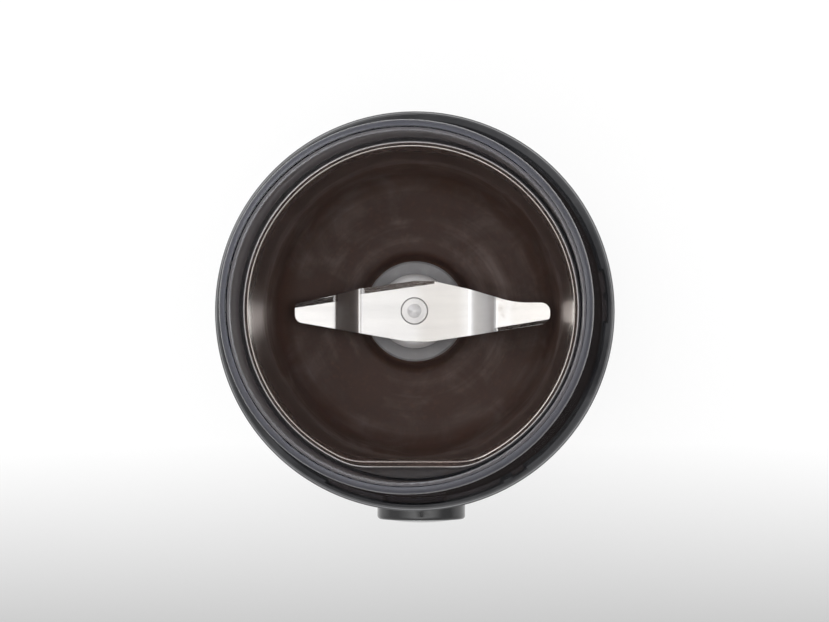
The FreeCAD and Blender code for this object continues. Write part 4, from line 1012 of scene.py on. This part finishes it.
class GRINDER_OT_foot(bpy.types.Operator):
    """Build the rubber foot ring with its tread of pads"""

    bl_idname = "grinder.foot"
    bl_label = "Foot Ring"

    def execute(self, context):
        chosen = context.scene.grinder_foot
        low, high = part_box("foot_ring")
        inner, outer, top = 0.0386, high.x, high.z
        groove, edge = chosen.groove, 0.0004
        outline = [(inner, groove, edge), (outer, groove, edge), (outer, top), (inner, top)]
        band = lathe(rounded(outline), steps=180)
        rubber = soft_rubber("foot_rubber", (0.02, 0.02, 0.021), 0.62, 0.03)
        pad_mesh = finished_mesh(self.pad(inner, outer, low.z, groove + 0.0004, chosen.pads), "foot_pad")
        values = {"Count": chosen.pads, "Material": rubber, "Ring Radius": 0.0}
        pads = grown("foot_pads", ring_tree(), values, pad_mesh)
        whole = joined([finished_mesh(band, "foot_band"), pads])
        piece = new_piece("foot_tread", finished_mesh(whole, "foot_tread"), rubber)
        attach(piece, "grinder")
        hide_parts("foot_ring")
        return {"FINISHED"}

    @staticmethod
    def pad(inner, outer, bottom, top, count):
        """One pad of the tread, with bevelled edges, out on the ring along X."""
        half = math.pi / count * 0.72
        shape = bmesh.new()
        inset = 0.0003
        for height, shrink in ((top, 0.0), (bottom + inset, 0.0), (bottom, inset)):
            for radius in (inner + 0.0001 + shrink, outer - 0.0001 - shrink):
                for side in (-1, 1):
                    turn = side * (half - shrink / radius)
                    shape.verts.new((radius * math.cos(turn), radius * math.sin(turn), height))
        shape.verts.ensure_lookup_table()
        corners = (0, 1, 3, 2)
        for level in (0, 4):
            for index in range(4):
                a, b = corners[index], corners[(index + 1) % 4]
                around = (level + a, level + b, level + 4 + b, level + 4 + a)
                shape.faces.new([shape.verts[v] for v in around])
        shape.faces.new([shape.verts[8 + v] for v in corners])
        shape.faces.new([shape.verts[v] for v in corners])
        bmesh.ops.recalc_face_normals(shape, faces=shape.faces)
        return shape


def screw_mesh(name, head_radius, head_height, shank_radius, length, settings):
    """A pan-head screw with a cross recess: its head is below the origin and its shank goes up."""
    crown = head_height * settings.crown
    outline = [(0.0, -head_height), (head_radius, -head_height, crown), (head_radius, 0.0)]
    outline.append((shank_radius, 0.0))
    pitch = shank_radius * 0.45
    height = pitch * 2
    while height < length - shank_radius * 1.5:
        outline += [(shank_radius, height), (shank_radius * 0.84, height + pitch * 0.5)]
        height += pitch
    outline += [(shank_radius * 0.9, length - shank_radius), (shank_radius * 0.35, length), (0.0, length)]
    body = bpy.data.objects.new(name, finished_mesh(lathe(rounded(outline), steps=40), name))
    arm, half, depth = head_radius * settings.recess, head_radius * 0.13, head_height * 0.55
    cutter_shape = bmesh.new()
    for wide, narrow in ((arm, half), (half, arm)):
        made = bmesh.ops.create_cube(cutter_shape, size=2.0)["verts"]
        bmesh.ops.scale(cutter_shape, verts=made, vec=(wide, narrow, depth))
        bmesh.ops.translate(cutter_shape, verts=made, vec=(0, 0, -head_height))
        for vertex in made:
            if vertex.co.z > -head_height:
                vertex.co.x *= 0.62
                vertex.co.y *= 0.62
    cutter = bpy.data.objects.new(name + "_cross", finished_mesh(cutter_shape, name + "_cross"))
    for item in (body, cutter):
        bpy.context.scene.collection.objects.link(item)
    cut = body.modifiers.new("cross", "BOOLEAN")
    cut.object = cutter
    cut.solver = "EXACT"
    cut.use_self = True
    mesh = bpy.data.meshes.new_from_object(body.evaluated_get(bpy.context.evaluated_depsgraph_get()))
    body.modifiers.clear()
    for item in (body, cutter):
        bpy.data.objects.remove(item)
    shape = bmesh.new()
    shape.from_mesh(mesh)
    bmesh.ops.remove_doubles(shape, verts=shape.verts, dist=1e-7)
    return finished_mesh(shape, name)


class GRINDER_OT_screws(bpy.types.Operator):
    """Build the screws of the base cover, the collar, the cord's clamp and the motor"""

    bl_idname = "grinder.screws"
    bl_label = "Screws"

    def execute(self, context):
        chosen = context.scene.grinder_screws
        zinc = plain_metal("screw_zinc", (0.62, 0.62, 0.64), 0.3, 0.0012)
        ring, corners = ring_tree(), corner_tree()

        cover = screw_mesh("cover_screw", 0.003, 0.0022, 0.0015, 0.0144, chosen)
        where = self.on_ring(3, 0.0345, math.pi / 3, 0.0056, zinc)
        three = grown("base_cover_screws", ring, where, cover)
        self.stand("base_cover_screws", three, "cover_screws", zinc)

        collar = screw_mesh("collar_screw", 0.0025, 0.0018, 0.0013, 0.0107, chosen)
        where = self.on_ring(3, 0.037, 0.0, 0.0915, zinc)
        three = grown("collar_ring_screws", ring, where, collar)
        self.stand("collar_ring_screws", three, "collar_screws", zinc)

        clamp = screw_mesh("clamp_screw", 0.0024, 0.0018, 0.0013, 0.0127, chosen)
        clamp.transform(Matrix.Rotation(math.pi, 4, "X"))
        where = self.on_ring(2, 0.0064, 0.0, 0.0184, zinc)
        pair = grown("cord_clamp_screws", ring, where, clamp)
        pair.transform(Matrix.Translation((0.0, 0.0313, 0.0)))
        self.stand("cord_clamp_screws", pair, "clamp_screws", zinc)

        long_screw = screw_mesh("motor_screw", 0.0034, 0.0022, 0.0018, 0.0648, chosen)
        where = {"Width": 0.0464, "Depth": 0.036, "Height": 0.029, "Material": zinc}
        four = grown("motor_long_screws", corners, where, long_screw)
        self.stand("motor_long_screws", four, "motor_screws", zinc)
        return {"FINISHED"}

    @staticmethod
    def on_ring(count, radius, first, height, material):
        """The inputs that put screws on a ring."""
        spread = {"Count": count, "Ring Radius": radius, "First Angle": first}
        return {**spread, "Height": height, "Material": material}

    @staticmethod
    def stand(name, mesh, node, material):
        """Puts a set of screws in place of a packed node."""
        piece = new_piece(name, mesh, material)
        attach(piece, "grinder")
        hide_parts(node)


class GRINDER_OT_motor(bpy.types.Operator):
    """Finish the motor: stacks, windings, commutator, brushes, bearings, brackets and fan"""

    bl_idname = "grinder.motor"
    bl_label = "Motor"

    def execute(self, context):
        chosen = context.scene.grinder_motor
        copper = tuple(chosen.copper)
        sheets = stacked_sheets("stack_steel", (0.36, 0.36, 0.37), chosen.sheet)
        wear(["armature_core", "stator_core"], sheets)
        wear(["armature_winding"], enamelled_copper("armature_copper", copper, 0.0006, True))
        bars = turned_metal("commutator_copper", (0.72, 0.38, 0.22), 0.24, 0.0002)
        wear(["commutator"], bars)
        wear(["cooling_fan"], filled_plastic("fan_nylon", (0.72, 0.7, 0.64), 0.42, 0.25))
        bronze = porous_bronze("bush_bronze", (0.5, 0.33, 0.15))
        wear(["thrust_washers", "upper_bearing", "lower_bearing"], bronze)
        cast = plain_metal("bracket_cast", (0.5, 0.5, 0.5), 0.45, 0.0025, 0.9)
        wear(["upper_bracket", "lower_bracket"], cast)
        wear(["carbon_brushes"], pressed_carbon("brush_carbon", (0.03, 0.03, 0.032)))
        wear(["brush_holders"], plain_metal("holder_brass", (0.75, 0.55, 0.24), 0.32, 0.002))
        self.wind_coils(chosen, copper)
        return {"FINISHED"}

    @staticmethod
    def wind_coils(chosen, copper):
        """Winds the two field coils wire by wire, in the space of their packed solids."""
        low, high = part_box("field_coils")
        wire = enamelled_copper("coil_copper", copper, 0.0006, False)
        inner_x = 0.015
        pitch = (high.x - inner_x) / chosen.rows
        inner_half, outer_half = 0.0111, high.y
        layer = (outer_half - inner_half) / chosen.layers
        middle = (low.z + high.z) / 2
        first = inner_half + layer / 2
        values = {
            "Width": 2 * first,
            "Length": 2 * first + 0.0002,
            "Corner": 0.0016,
            "Rows": chosen.rows,
            "Layers": chosen.layers,
            "Pitch": pitch,
            "Growth": layer / first,
            "Wire Radius": min(pitch, layer) * 0.49,
            "Material": wire,
        }
        coil = grown("field_coil", winding_tree(), values)
        place = Matrix.Translation((inner_x + pitch / 2, 0.0, middle))
        shape = joined([coil, coil], [place, Matrix.Rotation(math.pi, 4, "Z") @ place])
        piece = new_piece("wound_field_coils", finished_mesh(shape, "wound_field_coils", 80.0), wire)
        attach(piece, "grinder")
        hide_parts("field_coils")


class GRINDER_OT_controls(bpy.types.Operator):
    """Finish the button, the switches, the interlock and the capacitor"""

    bl_idname = "grinder.controls"
    bl_label = "Controls"

    def execute(self, context):
        chosen = context.scene.grinder_controls
        wear(["button_cap"], gloss_black("button_black", tuple(chosen.button_colour)))
        silver = pale_silver("button_silver", tuple(chosen.face_colour), BUTTON_HEIGHT)
        wear(["button_face"], silver)
        switches = filled_plastic("switch_case", (0.045, 0.045, 0.047), 0.45, 0.7)
        wear(["power_switch", "lid_switch"], switches)
        pins = filled_plastic("switch_pin_red", (0.45, 0.05, 0.04), 0.4, 0.3)
        wear(["power_switch_plunger", "lid_switch_plunger"], pins)
        nylon = filled_plastic("interlock_nylon", (0.05, 0.05, 0.052), 0.4, 0.5)
        wear(["interlock_plunger"], nylon)
        case = filled_plastic("capacitor_yellow", (0.68, 0.45, 0.06), 0.35, 0.2)
        wear(["suppression_capacitor"], case)
        return {"FINISHED"}


class GRINDER_OT_springs(bpy.types.Operator):
    """Wind the springs of the button, the interlock and the brushes from round wire"""

    bl_idname = "grinder.springs"
    bl_label = "Springs"

    def execute(self, context):
        chosen = context.scene.grinder_controls
        steel = plain_metal("spring_steel", (0.5, 0.5, 0.52), 0.28, 0.0008)
        tree = spring_tree()
        to_back = Matrix.Rotation(-math.pi / 2, 4, "X")

        button = self.wind("button_coil_spring", tree, steel, 0.0032, 0.0051, 0.0003, chosen.turns)
        button.data.transform(Matrix.Translation((0.0, -0.03845, 0.05)) @ to_back)
        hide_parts("button_spring")
        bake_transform(button)

        lift = self.wind("interlock_coil_spring", tree, steel, 0.002, 0.0033, 0.0002, chosen.turns)
        lift.data.transform(Matrix.Translation((0.0, -0.0365, 0.09425)))
        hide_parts("interlock_spring")
        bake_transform(lift)

        brush = self.wind("brush_coil_springs", tree, steel, 0.0018, 0.0059, 0.00025, chosen.turns + 2)
        place = Matrix.Translation((0.01805, 0.0, 0.0428)) @ Matrix.Rotation(math.pi / 2, 4, "Y")
        shape = joined([brush.data, brush.data], [place, Matrix.Rotation(math.pi, 4, "Z") @ place])
        brush.data = finished_mesh(shape, "brush_coil_springs", 80.0)
        brush.data.materials.append(steel)
        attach(brush, "grinder")
        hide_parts("brush_springs")
        return {"FINISHED"}

    @staticmethod
    def wind(name, tree, material, mean_radius, length, wire_radius, turns):
        """One spring standing on the origin."""
        values = {"Turns": turns, "Mean Radius": mean_radius, "Length": length}
        values.update({"Wire Radius": wire_radius, "Material": material})
        return new_piece(name, grown(name, tree, values), material)


class GRINDER_OT_studio(bpy.types.Operator):
    """Set up the camera, the pale floor, the white tent and the soft lamps"""

    bl_idname = "grinder.studio"
    bl_label = "Studio"

    def execute(self, context):
        chosen = context.scene.grinder_studio
        self.add_camera(chosen)
        self.add_floor(chosen)
        self.add_tent(chosen)
        for index, (turn, share) in enumerate(((135.0, 1.0), (15.0, 0.35), (255.0, 0.35))):
            self.add_lamp(index, math.radians(turn), chosen.lamp_power * share)
        context.scene.view_settings.view_transform = "Standard"
        return {"FINISHED"}

    @staticmethod
    def add_camera(chosen):
        """A camera that looks almost straight down, with +X to the right."""
        data = bpy.data.cameras.new("camera")
        data.lens = chosen.lens
        data.sensor_width = 36.0
        data.clip_start, data.clip_end = 0.01, 20.0
        camera = bpy.data.objects.new("camera", data)
        place, aim = Vector(chosen.camera_place), Vector(chosen.aim)
        forward = (aim - place).normalized()
        right = forward.cross(Vector((0, 1, 0))).normalized()
        up = right.cross(forward)
        turn = Matrix((right, up, -forward)).transposed()
        camera.matrix_world = Matrix.Translation(place) @ turn.to_4x4()
        bpy.context.scene.collection.objects.link(camera)
        bpy.context.scene.camera = camera

    @staticmethod
    def add_floor(chosen):
        """A broad white floor with painted shade: its colour darkens a little towards the front."""
        shape = bmesh.new()
        bmesh.ops.create_grid(shape, x_segments=2, y_segments=2, size=4.0)
        floor = new_piece("floor", finished_mesh(shape, "floor"), None)
        finish = Finish("floor_paper")
        grain = finish.cloud(0.002, detail=3.0)
        ends = chosen.floor_near, chosen.floor_far
        # Painted shade: the floor's colour darkens towards the front.
        front = finish.ramp(finish.y, -0.0772, -0.032, *ends, smooth=False)
        shade = front * (0.995 + 0.01 * (grain - 0.5))
        paper = finish.node("ShaderNodeCombineColor", {}, {0: shade, 1: shade, 2: shade})
        matt = finish.surface({"Base Color": paper, "Roughness": 0.9, "Specular IOR Level": 0.1})
        glow = finish.node("ShaderNodeEmission", {}, {"Color": paper, "Strength": 1.0})
        seen = finish.node("ShaderNodeLightPath", output="Is Camera Ray")
        mirrored = finish.node("ShaderNodeLightPath", output="Is Glossy Ray")
        refracted = finish.node("ShaderNodeLightPath", output="Is Transmission Ray")
        share = finish.ramp(seen + mirrored + refracted, 0.0, 1.0, 0.0, 0.8, smooth=False)
        both = finish.node("ShaderNodeMixShader", {}, {0: share, 1: matt, 2: glow})
        floor.data.materials.append(finish.done(both))

    @staticmethod
    def add_tent(chosen):
        """A white tent of light with a dark round opening overhead, where the camera looks in."""
        world = bpy.data.worlds.new("tent")
        world.use_nodes = True
        wiring = Wiring(world.node_tree)
        world.node_tree.nodes.clear()
        towards = wiring.node("ShaderNodeTexCoord", output="Generated")
        up = wiring.node("ShaderNodeSeparateXYZ", {}, {0: towards}, "Z")
        levels = ((0.0, 0.25), (0.5, 0.288), (0.78, 0.57), (0.94, 1.0), (0.988, 1.0), (0.993, 0.015))
        stops = [(height, (level, level, level, 1.0)) for height, level in levels]
        overhead = wiring.node("ShaderNodeValToRGB", {"stops": stops}, {0: up})
        side = 0.9 - wiring.node("ShaderNodeSeparateXYZ", {}, {0: towards}, "X") * 0.14
        shade = wiring.node("ShaderNodeCombineColor", {}, {0: side, 1: side, 2: side})
        product = {"data_type": "RGBA", "blend_type": "MULTIPLY"}
        colour = wiring.node("ShaderNodeMix", product, {0: 1.0, 6: overhead, 7: shade}, 2)
        back = wiring.node("ShaderNodeBackground", {}, {"Color": colour, "Strength": chosen.tent})
        wiring.node("ShaderNodeOutputWorld", {}, {"Surface": back})
        bpy.context.scene.world = world

    @staticmethod
    def add_lamp(index, turn, power):
        """A broad soft lamp beside the camera."""
        data = bpy.data.lights.new(f"soft_lamp_{index}", "AREA")
        data.shape = "SQUARE"
        data.size = 0.8
        data.energy = power
        lamp = bpy.data.objects.new(f"soft_lamp_{index}", data)
        place = Vector((0.85 * math.cos(turn), 0.85 * math.sin(turn), 1.3))
        lamp.location = place
        lamp.rotation_mode = "QUATERNION"
        lamp.rotation_quaternion = (Vector((0, 0, 0.1)) - place).to_track_quat("-Z", "Y")
        bpy.context.scene.collection.objects.link(lamp)


class GRINDER_PT_sidebar(bpy.types.Panel):
    """Lists the grinder's pieces and their settings"""

    bl_idname = "GRINDER_PT_sidebar"
    bl_label = "Spice Grinder"
    bl_space_type = "VIEW_3D"
    bl_region_type = "UI"
    bl_category = "Grinder"

    def draw(self, context):
        for operator in OPERATORS:
            self.layout.operator(operator.bl_idname)
        for name, group in SETTINGS.items():
            box = self.layout.box()
            box.label(text=group.__doc__)
            for key in group.__annotations__:
                box.prop(getattr(context.scene, name), key)


SETTINGS = {
    "grinder_casing": CasingSettings,
    "grinder_lid": LidSettings,
    "grinder_chamber": ChamberSettings,
    "grinder_foot": FootSettings,
    "grinder_screws": ScrewSettings,
    "grinder_motor": MotorSettings,
    "grinder_controls": ControlSettings,
    "grinder_studio": StudioSettings,
}
OPERATORS = (
    GRINDER_OT_studio,
    GRINDER_OT_casing,
    GRINDER_OT_lid,
    GRINDER_OT_chamber,
    GRINDER_OT_blade,
    GRINDER_OT_foot,
    GRINDER_OT_screws,
    GRINDER_OT_motor,
    GRINDER_OT_controls,
    GRINDER_OT_springs,
)


def register():
    for group in SETTINGS.values():
        bpy.utils.register_class(group)
    for operator in (*OPERATORS, GRINDER_PT_sidebar):
        bpy.utils.register_class(operator)
    for name, group in SETTINGS.items():
        setattr(bpy.types.Scene, name, bpy.props.PointerProperty(type=group))


def unregister():
    for name in SETTINGS:
        delattr(bpy.types.Scene, name)
    for operator in reversed((*OPERATORS, GRINDER_PT_sidebar)):
        bpy.utils.unregister_class(operator)
    for group in reversed(SETTINGS.values()):
        bpy.utils.unregister_class(group)


def main():
    register()
    bpy.ops.grinder.studio()
    bpy.ops.grinder.casing()
    bpy.ops.grinder.lid()
    bpy.ops.grinder.chamber()
    bpy.ops.grinder.blade()
    bpy.ops.grinder.foot()
    bpy.ops.grinder.screws()
    bpy.ops.grinder.motor()
    bpy.ops.grinder.controls()
    bpy.ops.grinder.springs()
    bpy.context.view_layer.update()


if __name__ == "__main__":
    main()
